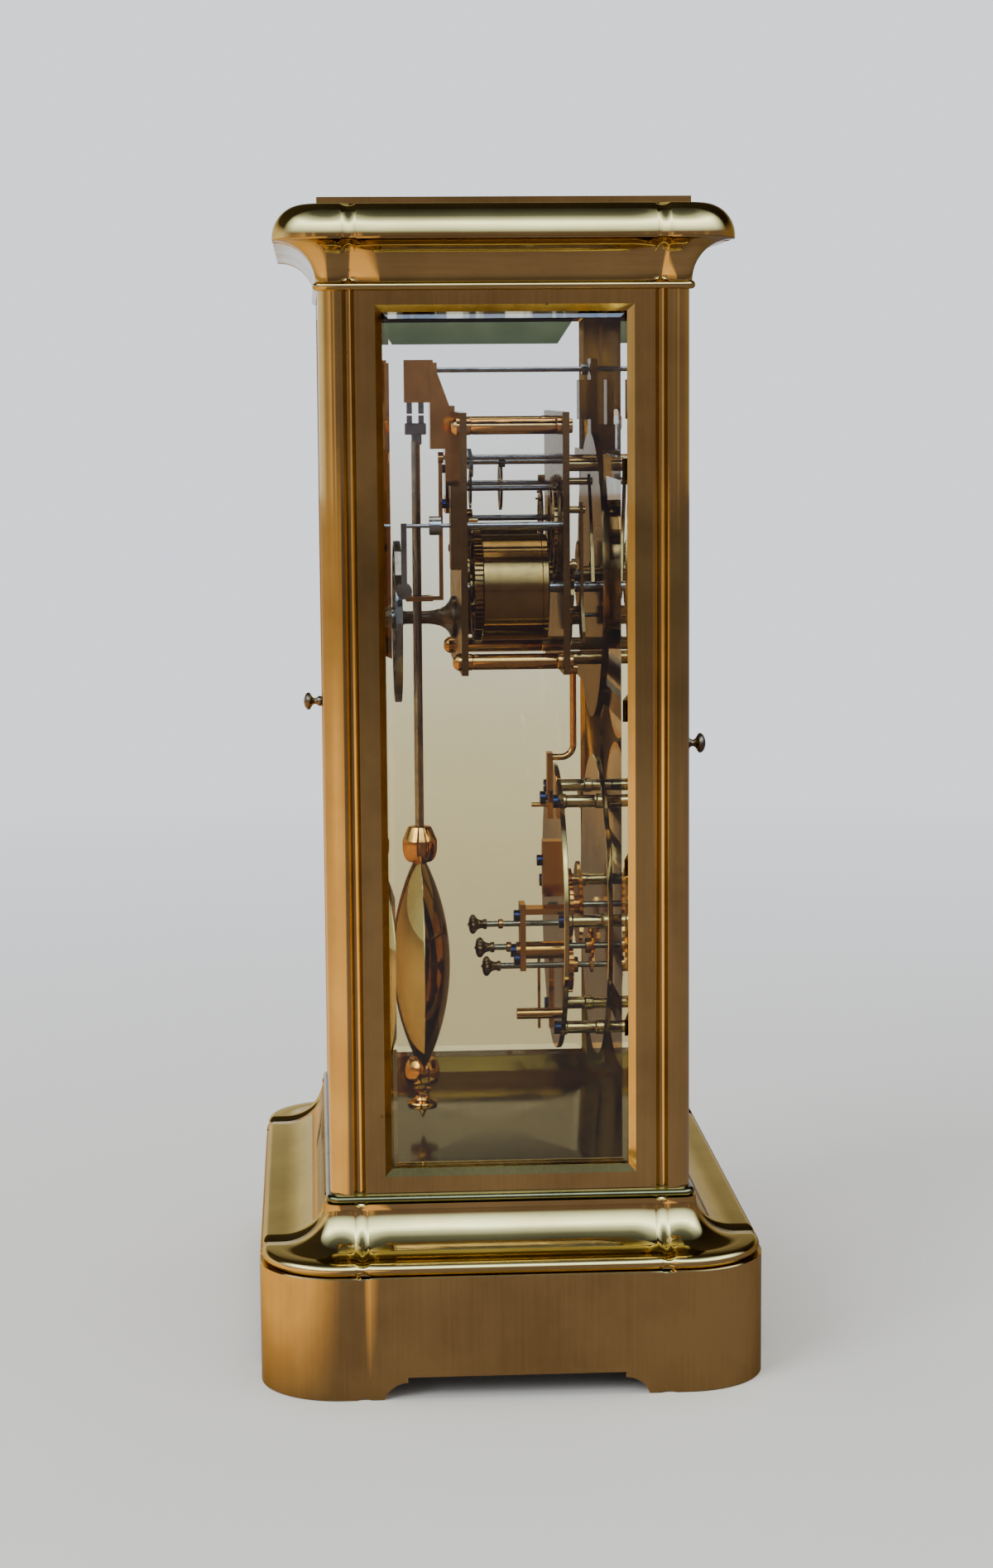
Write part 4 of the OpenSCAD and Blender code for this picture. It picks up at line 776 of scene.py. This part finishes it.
class CLOCK_OT_corner_posts(bpy.types.Operator):
    """Makes the four corner posts: an outline with the round column, a hollow flute and a thin fillet, carried up the
    case"""
    bl_idname = "clock.corner_posts"
    bl_label = "Corner posts"

    def execute(self, context):
        c = case()
        z0 = c.plinth_height + c.base_lip + c.base_cove + c.astragal
        inner_x, inner_y = c.case_half_width - 13.7 * MM, c.case_half_depth - 13.7 * MM
        r = c.column_radius
        mx, my = c.case_half_width - r, c.case_half_depth - r
        fillet, meets, dip = 0.6 * MM, 1.2 * MM, 1.7 * MM
        face = c.case_half_width - 0.3 * MM
        s = np.linspace(0, 1, 14)
        y0, y1 = inner_y + fillet, my - meets
        flute = face + (mx + math.sqrt(r * r - meets ** 2) - face) * s - dip * np.sin(np.pi * s)
        side = np.stack([flute, y0 + (y1 - y0) * s], 1)
        shift = np.array([c.case_half_width, c.case_half_depth])
        other = (shift - (shift - side)[:, ::-1])[::-1]
        a0 = -math.degrees(math.asin(meets / r))
        column = arc(mx, my, r, a0, 90 - a0, 26)
        outline = np.concatenate([
            [[inner_x, inner_y], [face, inner_y]], side, column, other, [[inner_x, shift[1] - 0.3 * MM]]])
        n = len(outline)
        mid = np.array([mx, my])
        parts = []
        for flip in ((1, 1), (1, -1), (-1, 1), (-1, -1)):
            stack = [(mid, z0), (outline, z0), (outline, z0 + c.column_height), (mid, z0 + c.column_height)]
            pts = [np.concatenate([np.broadcast_to(p, (n, 2)) * flip, np.full((n, 1), z)], 1) for p, z in stack]
            parts.append(as_grid(np.stack(pts), close_v=True))
        piece("corner_posts_surface", parts, "column", "case", ["corner_posts"], 40)
        return {"FINISHED"}


class CLOCK_OT_pendulum_bob(bpy.types.Operator):
    """Turns the lens bob, both collars, the rod and the rating nut"""
    bl_idname = "clock.pendulum_bob"
    bl_label = "Pendulum bob"

    def execute(self, context):
        p = swing()
        y, z, r, h = p.place, p.bob_height, p.bob_radius, p.bob_half
        rim, edge = r - 0.35 * MM, 0.18 * MM
        rad = rim * np.linspace(0, 1, 48)
        big = (rim ** 2 + (h - edge) ** 2) / (2 * (h - edge))
        swell = edge + np.sqrt(big ** 2 - rad ** 2) - (big - (h - edge))
        prof = np.concatenate([np.stack([rad, -swell], 1), np.stack([rad, swell], 1)[::-1]])
        piece("bob_surface", [turned(prof, "Y", (0, y, z), 160)], "bob", "pendulum", ["pendulum_bob"], 20)

        y, z, r, k, q = y / MM, z / MM, r / MM, p.collar_radius / MM, p.rod_radius / MM
        upper = [(0, 0.6), (4.7, 0.6), (5.6, 1.4), (6.3, 2.7), (6.8, 4.6), (k, 6.6), (k, 8.8), (k - 0.1, 9.3),
                 (6.2, 10.6), (5.3, 13.0), (4.5, 14.5), (4.2, 14.6), (2.3, 14.6), (2.2, 14.2), (0, 14.2)]
        lower = [(0, 0), (3.2, 0), (3.4, 0.6), (5.2, 0.9), (6.2, 1.5), (6.7, 2.4), (k, 4.0), (k, 7.0), (6.5, 9.0),
                 (5.6, 10.6), (5.0, 11), (0, 11)]
        collars = [turned(upper, "Z", (0, y, z + r - 5), 72), turned(lower, "Z", (0, y, z - r - 6), 72)]
        fitted("bob_collar_surfaces", collars, "gilt", "pendulum", ["bob_collars"], 24)
        nut = [(0, 0), (0.35, 0.5), (1.5, 3.6), (1.6, 4.25), (3.6, 4.35), (5.6, 4.7), (6.0, 5.4), (6.0, 6.6),
               (5.7, 7.1), (4.6, 7.5), (3.4, 8.1), (2.9, 8.9), (2.75, 10.4), (3.0, 11.2), (3.6, 11.6), (3.6, 12.1),
               (3.0, 12.5), (0, 12.6)]
        nut = turned(nut, "Z", (0, y, NUT_FOOT), 72)
        fitted("rating_nut_surface", [nut], "gilt", "nut", ["rating_nut"], 30)

        stem = [(0, 185), (q, 185.2), (q, 282), (q - 0.15, 282.2), (q - 0.15, 283.6), (q, 283.8), (q, 343.8), (0, 344)]
        tail = [(0, 77), (q - 0.2, 77.1), (q, 77.6), (q, 90), (0, 90)]
        parts = [turned(line, "Z", (0, y, 0), 32) for line in (stem, tail)]
        parts += [block((-1.6, 1.6), (y - 4.2, y + 4.2), (346.5, 351), 0.3),
                  block((-1.2, 1.2), (y - 2.4, y + 1.6), (342.6, 347), 0.3)]
        parts += [block((-0.1, 0.1), (y + v, y + v + 2.2), (350.6, 354), 0.02) for v in (-3.4, 1.2)]
        fitted("pendulum_rod_surface", parts, "steel", "pendulum", ["pendulum_rod"], 30)
        return {"FINISHED"}


class CLOCK_OT_door_knobs(bpy.types.Operator):
    """Turns the two mushroom knobs of the doors"""
    bl_idname = "clock.door_knobs"
    bl_label = "Door knobs"

    def execute(self, context):
        c = case()
        line = np.array([
            (0, 0), (1.7, 0), (2.1, 0.4), (2.2, 1.0), (2.05, 1.7), (1.5, 2.3), (1.25, 2.9), (1.35, 3.6), (1.9, 4.2),
            (2.9, 4.8), (3.55, 5.2), (3.7, 5.7), (3.6, 6.3), (3.1, 6.9), (2.3, 7.4), (1.2, 7.75), (0, 7.85)])
        for name, side in (("front", -1), ("back", 1)):
            prof = line * [1, side] + [0, side * (c.case_half_depth / MM - 0.3)]
            knob = turned(prof, "Y", (side * c.knob_place / MM, 0, c.knob_height / MM), 56)
            fitted(name + "_knob_surface", [knob], "bronze", name + "_door", [name + "_door_knob"], 40)
        return {"FINISHED"}


class CLOCK_OT_movement(bpy.types.Operator):
    """Makes the two toothed barrels with their arbors, the plate pillars, the gong stand, the dial drum and the screws
    of the back plate"""
    bl_idname = "clock.movement"
    bl_label = "Movement"

    def execute(self, context):
        teeth, module = 66, 0.6498
        drum = [(0, 5.3), (19.9, 5.3), (20.4, 4.8), (20.4, -17.4), (20.15, -17.6), (20.4, -17.8), (20.4, -19.7),
                (20.0, -20.1), (7, -20.1), (6.8, -21.2), (0, -21.2)]
        click_wheel = toothed(20, [(0, 8.6), (0.1, 7.4)])
        for name, x, phase in (("going", -BARREL_X, 64.58), ("strike", BARREL_X, 86.75)):
            at, body = (x, BARREL_Z), name + "_barrel_body"
            parts = [washer(gear(teeth, module, phase), 17.0, 5.3, 8.3, at), turned(drum, "Y", (x, 0, BARREL_Z), 128),
                     washer(ring_outline(17.2), 2.4, 5.2, 7.4, at), washer(click_wheel, 2.0, -29.1, -30.5, at),
                     rod(*at, 9.6, 8.2, 6)]
            fitted(name + "_barrel_surface", parts, "drum", body, [name + "_barrel"], 28)
            square = block((x - 1.5, x + 1.5), (-52.6, -45), (BARREL_Z - 1.5, BARREL_Z + 1.5), 0.25)
            fitted(name + "_barrel_arbor", [rod(*at, 13.8, -46, 2.2), square], "steel", body, (), 30)

        pillar = [(0, 11.2), (3.2, 11.2), (3.2, 9.6), (2.9, 9.3), (3.05, 8.6), (3.05, -22.6), (2.9, -23.2),
                  (3.2, -23.5), (3.2, -25.1), (0, -25.1)]
        nut = [(0, 13.8), (3.4, 13.8), (3.4, 14.9), (3.0, 15.4), (2.5, 16.2), (1.6, 16.8), (0, 17.0)]
        parts = []
        for x, z in PILLARS:
            parts += [turned(pillar, "Y", (x, 0, z), 48), rod(x, z, -27.7, -29.3, 2.8), turned(nut, "Y", (x, 0, z), 36)]
        fitted("movement_pillar_surfaces", parts, "gilt", "case", ["movement_pillars"], 28)

        stand = [(0, 13.8), (8.5, 13.8), (8.5, 14.8), (8.1, 15.2), (6.2, 16.0), (4.6, 17.4), (3.5, 19.4), (2.9, 21.8),
                 (2.6, 24.4), (2.6, 33.4), (2.8, 34.0), (3.6, 34.3), (3.6, 35.2), (0, 35.2)]
        stand = turned(stand, "Y", GONG_AT, 64)
        fitted("gong_stand_surface", [stand], "bronze", "case", ["gong_post"], 30)

        rim = [(28.2, -42.1), (29.5, -42.1), (29.5, -43.6), (29.3, -43.9), (29.3, -48.6), (29.5, -48.9), (29.5, -49.9),
               (28.2, -49.9), (28.2, -42.1)]
        rim = turned(rim, "Y", (0, 0, HANDS_Z), 128)
        fitted("dial_drum_surface", [rim], "gilt", "case", (), 28)
        screws = []
        for x, z in HIGH_SCREWS:
            screws += slotted(x, z, 17.8, 1.7, 1.3, 0.5 + z)
        for x, z in FLAT_SCREWS:
            screws += slotted(x, z, 13.8, 1.5, 0.9, z + x)
        fitted("movement_screws", screws, "blue", "case", (), 25)
        return {"FINISHED"}


class CLOCK_OT_calendar(bpy.types.Operator):
    """Makes the calendar's plates with their posts and screws, and the day, month and date works with star wheels,
    knobs and blued hands"""
    bl_idname = "clock.calendar"
    bl_label = "Calendar work"

    def execute(self, context):
        cal = dials().calendar_height / MM
        knob = np.array([
            (0, 0), (0.5, 0.05), (0.62, 0.45), (1.5, 0.5), (2.8, 0.8), (3.65, 1.4), (3.9, 2.1), (3.8, 2.8), (3.2, 3.4),
            (2.5, 3.9), (2.0, 4.6), (1.75, 5.5), (1.65, 6.3), (2.1, 6.5), (2.1, 7.7), (1.9, 7.9), (0, 7.9)])

        def setting_knob(name, x, z, back, body):
            """A mushroom knob whose rim is waved: radius x (1 + 0.045 cos 12a) beyond the neck."""
            pts, faces = turned(knob * [1, -1] + [0, back], "Y", (0, 0, 0), 72)
            r, a = np.hypot(pts[:, 0], pts[:, 2]), np.arctan2(pts[:, 2], pts[:, 0])
            wave = 1 + 0.045 * np.cos(12 * a) * np.clip((r - 2.6) / 1.2, 0, 1)
            part = pts * np.stack([wave, np.ones_like(wave), wave], 1) + [x, 0, z], faces
            fitted(name, [part], "bronze", body, (), 38)

        def hand(name, x, z, y0, y1, body, long, wide, tail, turn, disc):
            """A tapering hand turned anticlockwise from upright, with a disc at its middle."""
            tip = long - 3 * wide
            o = np.array([(-wide * 0.35, -tail), (wide * 0.35, -tail), (wide / 2, 0), (wide * 0.3, tip), (0, long),
                          (-wide * 0.3, tip), (-wide / 2, 0)])
            c, s = math.cos(math.radians(turn)), math.sin(math.radians(turn))
            o = np.stack([o[:, 0] * c - o[:, 1] * s + x, o[:, 0] * s + o[:, 1] * c + z], 1)
            fitted(name, [slab(o, y0, y1), rod(x, z, y0, y1, disc, 0.15, 40)], "blue", body, (), 28)

        def star(n, low, high):
            """A star wheel's outline: n points at the high radius, hollows at the low one."""
            return toothed(n, [(0, high), (0.5, low)])

        for name, x, teeth, turn in (("day", -SMALL_X, 14, 35), ("month", SMALL_X, 12, -60)):
            z, body = cal - SMALL_DROP, name + "_work_body"
            fitted(name + "_arbor", [rod(x, z, 2, -53.3, 1.2)], "steel", body, [name + "_work"], 30)
            setting_knob(name + "_setting_knob", x, z, 9, body)
            parts = [washer(star(teeth, 7.4, 10.4), 1.1, -36.4, -37.6, (x, z)), rod(x, z, -34.6, -36.6, 3.0),
                     rod(x, z, -3.6, -5.6, 2.0)]
            fitted(name + "_star_wheel", parts, "gilt", body, (), 28)
            hand(name + "_hand", x, z, -52.6, -53.3, body, long=12, wide=1.5, tail=4, turn=turn, disc=2)

        z, body = SETTER_Z, "date_setter_body"
        fitted("date_setter_arbor", [rod(0, z, -2, -46, 1.2)], "steel", body, ["date_setter"], 30)
        setting_knob("date_setter_knob", 0, z, 5, body)
        parts = [washer(gear(30, 0.7, 96), 1.1, -29.8, -31.6, (0, z)), rod(0, z, -31.4, -34, 3.2)]
        fitted("date_setter_wheel", parts, "gilt", body, (), 28)

        at, body = (0, cal), "date_work_body"
        spoke = block((-1.0, 1.0), (-30.05, -31.35), (cal + 2.2, cal + 10.9), 0.15)
        parts = [washer(gear(40, 0.7, -90), 10.4, -30, -31.4, at), washer(ring_outline(3.2, 48), 1.1, -30, -31.4, at)]
        parts += [turned_about(spoke, math.radians(90 + 72 * k), (0, 0, cal)) for k in range(5)]
        parts += [washer(star(31, 15.4, 17.4), 1.1, -33.5, -35, at), rod(0, cal, -31.2, -33.8, 3.6)]
        fitted("date_wheels", parts, "gilt", body, ["date_work"], 28)
        fitted("date_arbor", [rod(0, cal, -22, -54.8, 1.2)], "steel", body, (), 30)
        hand("date_hand", 0, cal, -53.8, -54.6, body, long=46, wide=1.8, tail=12, turn=20, disc=3)

        back_plate, front_plate = (-24, -26), (-40.5, -42.5)
        post = [(0, -25), (3, -26), (3, -27.2), (2.5, -27.8), (2.5, -38.6), (3, -39.2), (3, -40.5), (0, -40.6)]
        back, heads = [rod(0, cal, *back_plate, 57, 0.25, 160)], []
        for x, v in CALENDAR_POSTS:
            back += [turned(post, "Y", (x, 0, cal + v), 36), rod(x, cal + v, -42.4, -50, 2.4)]
            heads += slotted(x, cal + v, back_plate[0], 2.6, 1.7, x + v)
        fitted("calendar_post_screws", heads, "blue", "case", (), 25)
        fitted("calendar_back_plate_surface", back, "skeleton", "case", ["calendar_back_plate"], 28)
        front = [rod(0, cal, *front_plate, 60, 0.25, 160)]
        fitted("calendar_front_plate_surface", front, "skeleton", "case", ["calendar_front_plate"], 28)
        return {"FINISHED"}


class CLOCK_OT_dial_figures(bpy.types.Operator):
    """Lays the fired numerals, minute ring and calendar rings on the dials"""
    bl_idname = "clock.dial_figures"
    bl_label = "Dial figures"

    def execute(self, context):
        d = dials()
        y0, y1 = d.face - d.enamel_stroke, d.face + 0.00002

        def bar(x0, z0, x1, z1, w):
            """A straight stroke between two points, w wide."""
            a, b = np.array([x0, z0]), np.array([x1, z1])
            t = (b - a) / np.linalg.norm(b - a)
            n = np.array([-t[1], t[0]]) * w / 2
            return np.stack([a - n, b - n, b + n, a + n])

        def glyph(text, h):
            """Roman numeral strokes, h tall and centred: thick and thin bars with serifs."""
            thick, thin, out = 0.17 * h, 0.055 * h, []
            wide = {"I": 0.30 * h, "V": 0.62 * h, "X": 0.62 * h}
            x = -sum(wide[k] for k in text) / 2
            for k in text:
                w = wide[k]
                m = x + w / 2
                if k == "I":
                    out.append(bar(m, -h / 2, m, h / 2, thick))
                else:
                    a, b = (m, m + 0.02 * h) if k == "V" else (m + 0.2 * h, m - 0.2 * h)
                    out += [bar(m - 0.2 * h, h / 2, a, -h / 2, thick), bar(m + 0.2 * h, h / 2, b, -h / 2, thin)]
                out += [bar(m - w / 2, s * h / 2, m + w / 2, s * h / 2, thin) for s in ((1, -1) if k != "V" else (1,))]
                x += w
            return out

        def ring(r, w, z, n=180, x=0):
            """A thin flat ring about a place on the dials."""
            prof = [(r - w / 2, y1), (r - w / 2, y0), (r + w / 2, y0), (r + w / 2, y1), (r - w / 2, y1)]
            return turned(prof, "Y", (x, 0, z), n)

        def placed(outline, angle, r, z, x=0.0):
            """An outline stood on a ring: moved out by r and turned clockwise by the angle."""
            c, s = math.cos(angle), math.sin(angle)
            p = np.asarray(outline) + [0, r]
            q = np.stack([p[:, 0] * c + p[:, 1] * s, -p[:, 0] * s + p[:, 1] * c], 1)
            return slab(q + [x, z], y1, y0)

        z, line, gap, inner, outer = d.time_height, 0.00025, 0.0001, 0.0572, 0.0600
        parts = []
        for k, text in enumerate(("XII", "I", "II", "III", "IIII", "V", "VI", "VII", "VIII", "IX", "X", "XI")):
            parts += [placed(o, k * math.pi / 6, d.numeral_ring, z) for o in glyph(text, d.numeral_height)]
        parts += [ring(inner, line, z), ring(outer, line, z)]
        for k in range(60):
            mark = bar(0, 0, 0, 0.0026, 0.00035 if k % 5 else 0.0009)
            parts.append(placed(mark, k * math.pi / 30, inner + gap, z))
        piece("time_dial_figures", parts, "ink", "case", sharp=20)

        z, low = d.calendar_height, d.calendar_height - SMALL_DROP * MM
        small = ((7, -SMALL_X * MM, 0.0036), (12, SMALL_X * MM, 0.0032))
        inner, outer, small_in, small_out = 0.0560, 0.0606, 0.0098, 0.0150
        parts = [ring(inner, line, z), ring(outer, line, z)]
        for k in range(31):
            parts.append(placed(bar(0, 0, 0, 0.0044, 0.0003), (k + 0.5) * 2 * math.pi / 31, inner + gap, z))
        for count, x, _ in small:
            parts += [ring(r, 0.00024, low, 96, x) for r in (small_in, small_out)]
            mark = bar(0, 0, 0, 0.0050, 0.00022)
            parts += [placed(mark, (k + 0.5) * 2 * math.pi / count, small_in + gap, low, x) for k in range(count)]
        piece("calendar_dial_rings", parts, "ink", "case", sharp=20)

        figures = bmesh.new()
        mid, small_mid = 0.0583, 0.0124
        rings = [(31, mid, 0.0, z, 0.0034)] + [(n, small_mid, x, low, size) for n, x, size in small]
        for count, r, x, z, size in rings:
            for k in range(count):
                curve = bpy.data.curves.new("figure", "FONT")
                curve.body = str(k + 1)
                curve.size = size
                curve.align_x, curve.align_y = "CENTER", "CENTER"
                curve.resolution_u = 3
                curve.extrude = d.enamel_stroke / 2
                o = shown("figure", curve)
                bpy.context.view_layer.update()
                me = bpy.data.meshes.new_from_object(o.evaluated_get(bpy.context.evaluated_depsgraph_get()))
                bpy.data.objects.remove(o)
                bpy.data.curves.remove(curve)
                co = np.empty(len(me.vertices) * 3)
                me.vertices.foreach_get("co", co)
                px, pz, py = co.reshape(-1, 3).T + [[0], [r], [0]]
                angle = k * 2 * math.pi / count
                c, s = math.cos(angle), math.sin(angle)
                q = [px * c + pz * s + x, d.face - d.enamel_stroke / 2 - py, -px * s + pz * c + z]
                me.vertices.foreach_set("co", np.stack(q, 1).ravel())
                figures.from_mesh(me)
                bpy.data.meshes.remove(me)
        bmesh.ops.remove_doubles(figures, verts=figures.verts, dist=1e-6)
        bmesh.ops.recalc_face_normals(figures, faces=figures.faces)
        mesh = bpy.data.meshes.new("calendar_dial_numbers")
        figures.to_mesh(mesh)
        figures.free()
        mesh.materials.append(FINISH["ink"])
        o = shown("calendar_dial_numbers", mesh)
        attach(o, "case")
        return {"FINISHED"}


class CLOCK_OT_studio(bpy.types.Operator):
    """Makes the pale floor, the air that the metal reflects, the soft lights and the camera of the photograph"""
    bl_idname = "clock.studio"
    bl_label = "Studio"

    def execute(self, context):
        self.make_floor()
        self.make_air(context.scene)
        for name, place, aim, size, power, tone in (
                ("Window light", (-1.6, 1.5, 1.5), (0, 0, 0.25), (1.2, 1.4), 40.0, (0.96, 0.98, 1.0)),
                ("Warm fill", (-0.7, -1.7, 0.7), (0, 0, 0.2), (0.8, 1.0), 3.0, (1.0, 0.80, 0.55)),
                ("Ceiling", (0.2, 0.0, 2.4), (0, 0, 0.2), (2.0, 2.0), 34.0, (1.0, 0.99, 0.97))):
            lamp = bpy.data.lights.new(name, "AREA")
            lamp.shape = "RECTANGLE"
            lamp.size, lamp.size_y = size
            lamp.energy, lamp.color = power, tone
            o = shown(name, lamp)
            o.location = place
            o.rotation_euler = (Vector(aim) - Vector(place)).to_track_quat("-Z", "Y").to_euler()
            o.visible_camera = o.visible_glossy = False
        self.make_camera(context.scene)
        return {"FINISHED"}

    def make_floor(self):
        """A round floor that fades into the air. The metal sees it in other colours: a dark painted reflection of a
        room, and towards the back a warm painted reflection of a wooden table.
        """
        verts, faces = turned([(0, 0), (0.5, 0), (3.0, 0), (9.0, 0)], "Z", (0, 0, -0.0002), 96)
        mesh = new_mesh("studio_floor", verts, faces, 1e-5)
        if mesh.polygons[0].normal.z < 0:
            mesh.flip_normals()
        shown("studio_floor", mesh)
        m, t, shader, where = start_material("Pale studio floor")
        path = add(t, "ShaderNodeLightPath").outputs
        # painted reflection: the colours that glossy rays see on the floor, dark with a warm part towards the back
        warm, fade, room_reflection = (0.07, 0.17), (0.35, 1.5), (0.205, 0.168, 0.190, 1)
        mirror = more(t, path["Glossy Depth"], 0.5)
        soft = blend(t, noise(t, where, 3.0, 2.0), tint("floor"), (0.70, 0.695, 0.68, 1))
        warm_reflection = blend(t, spread(t, split(t, where)[1], *warm), room_reflection, tint("warm_reflection"))
        feed(t, shader, {
            "Base Color": blend(t, mirror, soft, warm_reflection),
            "Roughness": spread(t, noise(t, where, 40.0, 2.0), 0.3, 0.7, 0.42, 0.55),
            "Specular IOR Level": 0.0})
        away = add(t, "ShaderNodeVectorMath", {0: where}, operation="LENGTH").outputs["Value"]
        air = add(t, "ShaderNodeEmission", {"Color": tint("wall"), "Strength": WALL_LIGHT}).outputs[0]
        far = times(t, spread(t, away, *fade), minus(t, 1.0, mirror))
        mix = add(t, "ShaderNodeMixShader", {0: far, 1: shader.outputs[0], 2: air})
        t.links.new(mix.outputs[0], t.nodes["Material Output"].inputs["Surface"])
        mesh.materials.append(m)

    def make_air(self, scene):
        """The world. The camera sees pale air, through glass with dark green above. Metal sees a dark room with a blue
        window above and gold strips at the horizon on the camera's side, and air that fades upward on the far side."""
        scene.world = bpy.data.worlds.new("Studio air")
        scene.world.use_nodes = True
        w = scene.world.node_tree
        east, north, up = split(w, add(w, "ShaderNodeTexCoord").outputs["Generated"])
        wall = tuple(WALL_LIGHT * v for v in tint("wall"))

        def ramp(value, *stops):
            """A colour ramp over the range of its stops, each a value with its colour."""
            low, high = stops[0][0], stops[-1][0]
            n = add(w, "ShaderNodeValToRGB", {0: spread(w, value, low, high)})
            e = n.color_ramp.elements
            e[0].position, e[1].position = 0.0, 1.0
            e[0].color, e[1].color = (*stops[0][1], 1), (*stops[-1][1], 1)
            for v, c in stops[1:-1]:
                e.new((v - low) / (high - low)).color = (*c, 1)
            return n.outputs[0]

        def product(a, b):
            """Two colours multiplied."""
            return blend(w, 1.0, a, b, "MULTIPLY")

        none, full = np.zeros(3), np.ones(3)
        dark, bright = np.array(tint("shade")[:3]) / 10, np.array(tint("window")[:3])
        gold = np.array((0.85, 0.56, 0.28))
        room = ramp(up, (-0.4, 0.5 * dark), (-0.05, dark), (0.18, dark), (0.30, 0.25 * bright), (0.45, 0.50 * bright),
                    (0.70, bright), (0.84, 0.30 * bright), (0.95, 0.05 * bright), (1.0, 0.03 * bright))
        strips = ramp(north, (-1, none), (-0.84, none), (-0.76, 0.35 * gold), (-0.66, none), (-0.46, none),
                      (-0.40, 0.16 * gold), (-0.33, none), (0.36, none), (0.45, gold), (0.52, 0.2 * gold),
                      (0.66, 0.2 * gold), (0.74, (0.95, 0.72, 0.42)), (0.88, (0.5, 0.34, 0.16)), (1, (0.3, 0.2, 0.1)))
        level = times(w, spread(w, up, -0.45, -0.10), spread(w, up, 0.30, 0.08))
        lit = blend(w, level, product(room, (10.0, 10.0, 10.0, 1)), product(strips, (0.9, 0.9, 0.9, 1)), "ADD")
        ahead = ramp(north, (-0.7, (0.25, 0.18, 0.11)), (0.1, (0.9, 0.9, 0.92)), (0.6, (1.0, 0.96, 0.88)))
        ahead = product(product(ahead, wall), ramp(up, (-1, (0.05, 0.03, 0.02)), (-0.5, (0.4, 0.3, 0.2)), (-0.2, full),
                                                   (0.16, full), (0.36, (0.06, 0.05, 0.04)), (1, (0.03, 0.03, 0.03))))
        around = blend(w, spread(w, east, -0.20, 0.30), lit, ahead)
        bent = ramp(up, (-0.6, (0.55, 0.50, 0.40)), (-0.40, wall[:3]), (0.035, wall[:3]),
                    (0.055, (0.030, 0.040, 0.026)), (0.30, (0.020, 0.030, 0.020)), (0.5, (0.02, 0.03, 0.02)))
        path = add(w, "ShaderNodeLightPath").outputs
        through = blend(w, path["Is Transmission Ray"], wall, bent)
        soft = blend(w, path["Is Diffuse Ray"], around, (0.62, 0.63, 0.65, 1))
        direct = less(w, plus(w, path["Glossy Depth"], path["Diffuse Depth"]), 0.5)
        feed(w, w.nodes["Background"], {"Color": blend(w, direct, soft, through), "Strength": 1.0})

    def make_camera(self, scene):
        """The camera of the photograph: axes from yaw and pitch, then turned by the roll."""
        cam = bpy.data.cameras.new("Photo view")
        cam.sensor_fit = "VERTICAL"
        cam.sensor_height = 36.0
        cam.lens = 70.28
        cam.clip_start, cam.clip_end = 0.05, 60.0
        yaw, pitch, roll = math.radians(3.431), math.radians(7.447), math.radians(-0.436)
        ahead = np.array([math.cos(yaw) * math.cos(pitch), -math.sin(yaw) * math.cos(pitch), -math.sin(pitch)])
        right = np.cross(ahead, [0, 0, 1])
        right /= np.linalg.norm(right)
        above = np.cross(right, ahead)
        c, s = math.cos(roll), math.sin(roll)
        right, above = c * right + s * above, -s * right + c * above
        turn = Matrix([[right[k], above[k], -ahead[k]] for k in range(3)]).to_4x4()
        scene.camera = shown("Photo view", cam)
        scene.camera.matrix_world = Matrix.Translation((-1.207, 0.0705, 0.366)) @ turn


class CLOCK_PT_panel(bpy.types.Panel):
    """Lists the clock's sizes, finishes and steps"""
    bl_idname = "CLOCK_PT_panel"
    bl_label = "Regulator Clock"
    bl_space_type = "VIEW_3D"
    bl_region_type = "UI"
    bl_category = "Clock"

    def draw(self, context):
        """One box for each group of properties, then a button for each step."""
        for group in GROUP_PROPS:
            box = self.layout.box()
            data = getattr(context.scene, group)
            for key in data.__annotations__:
                box.prop(data, key)
        for op in OPERATORS:
            self.layout.operator(op.bl_idname)


OPERATORS = [CLOCK_OT_finishes, CLOCK_OT_plinth, CLOCK_OT_case_mouldings, CLOCK_OT_corner_posts,
             CLOCK_OT_pendulum_bob, CLOCK_OT_door_knobs, CLOCK_OT_movement, CLOCK_OT_calendar, CLOCK_OT_dial_figures,
             CLOCK_OT_studio]
GROUP_PROPS = {"clock_case": CaseSizes, "clock_dials": DialSizes, "clock_pendulum": PendulumSizes,
               "clock_finish": FinishColours}


def register():
    """Registers the classes and hangs the properties on the scene."""
    for cls in (*GROUP_PROPS.values(), *OPERATORS, CLOCK_PT_panel):
        bpy.utils.register_class(cls)
    for key, cls in GROUP_PROPS.items():
        setattr(bpy.types.Scene, key, PointerProperty(type=cls))


def unregister():
    """Takes away what register adds."""
    for key in GROUP_PROPS:
        delattr(bpy.types.Scene, key)
    for cls in (CLOCK_PT_panel, *reversed(OPERATORS), *reversed(list(GROUP_PROPS.values()))):
        bpy.utils.unregister_class(cls)


def main():
    """Registers the classes and runs each step in order."""
    register()
    for op in OPERATORS:
        area, name = op.bl_idname.split(".")
        getattr(getattr(bpy.ops, area), name)()
    bpy.context.view_layer.update()


if __name__ == "__main__":
    main()
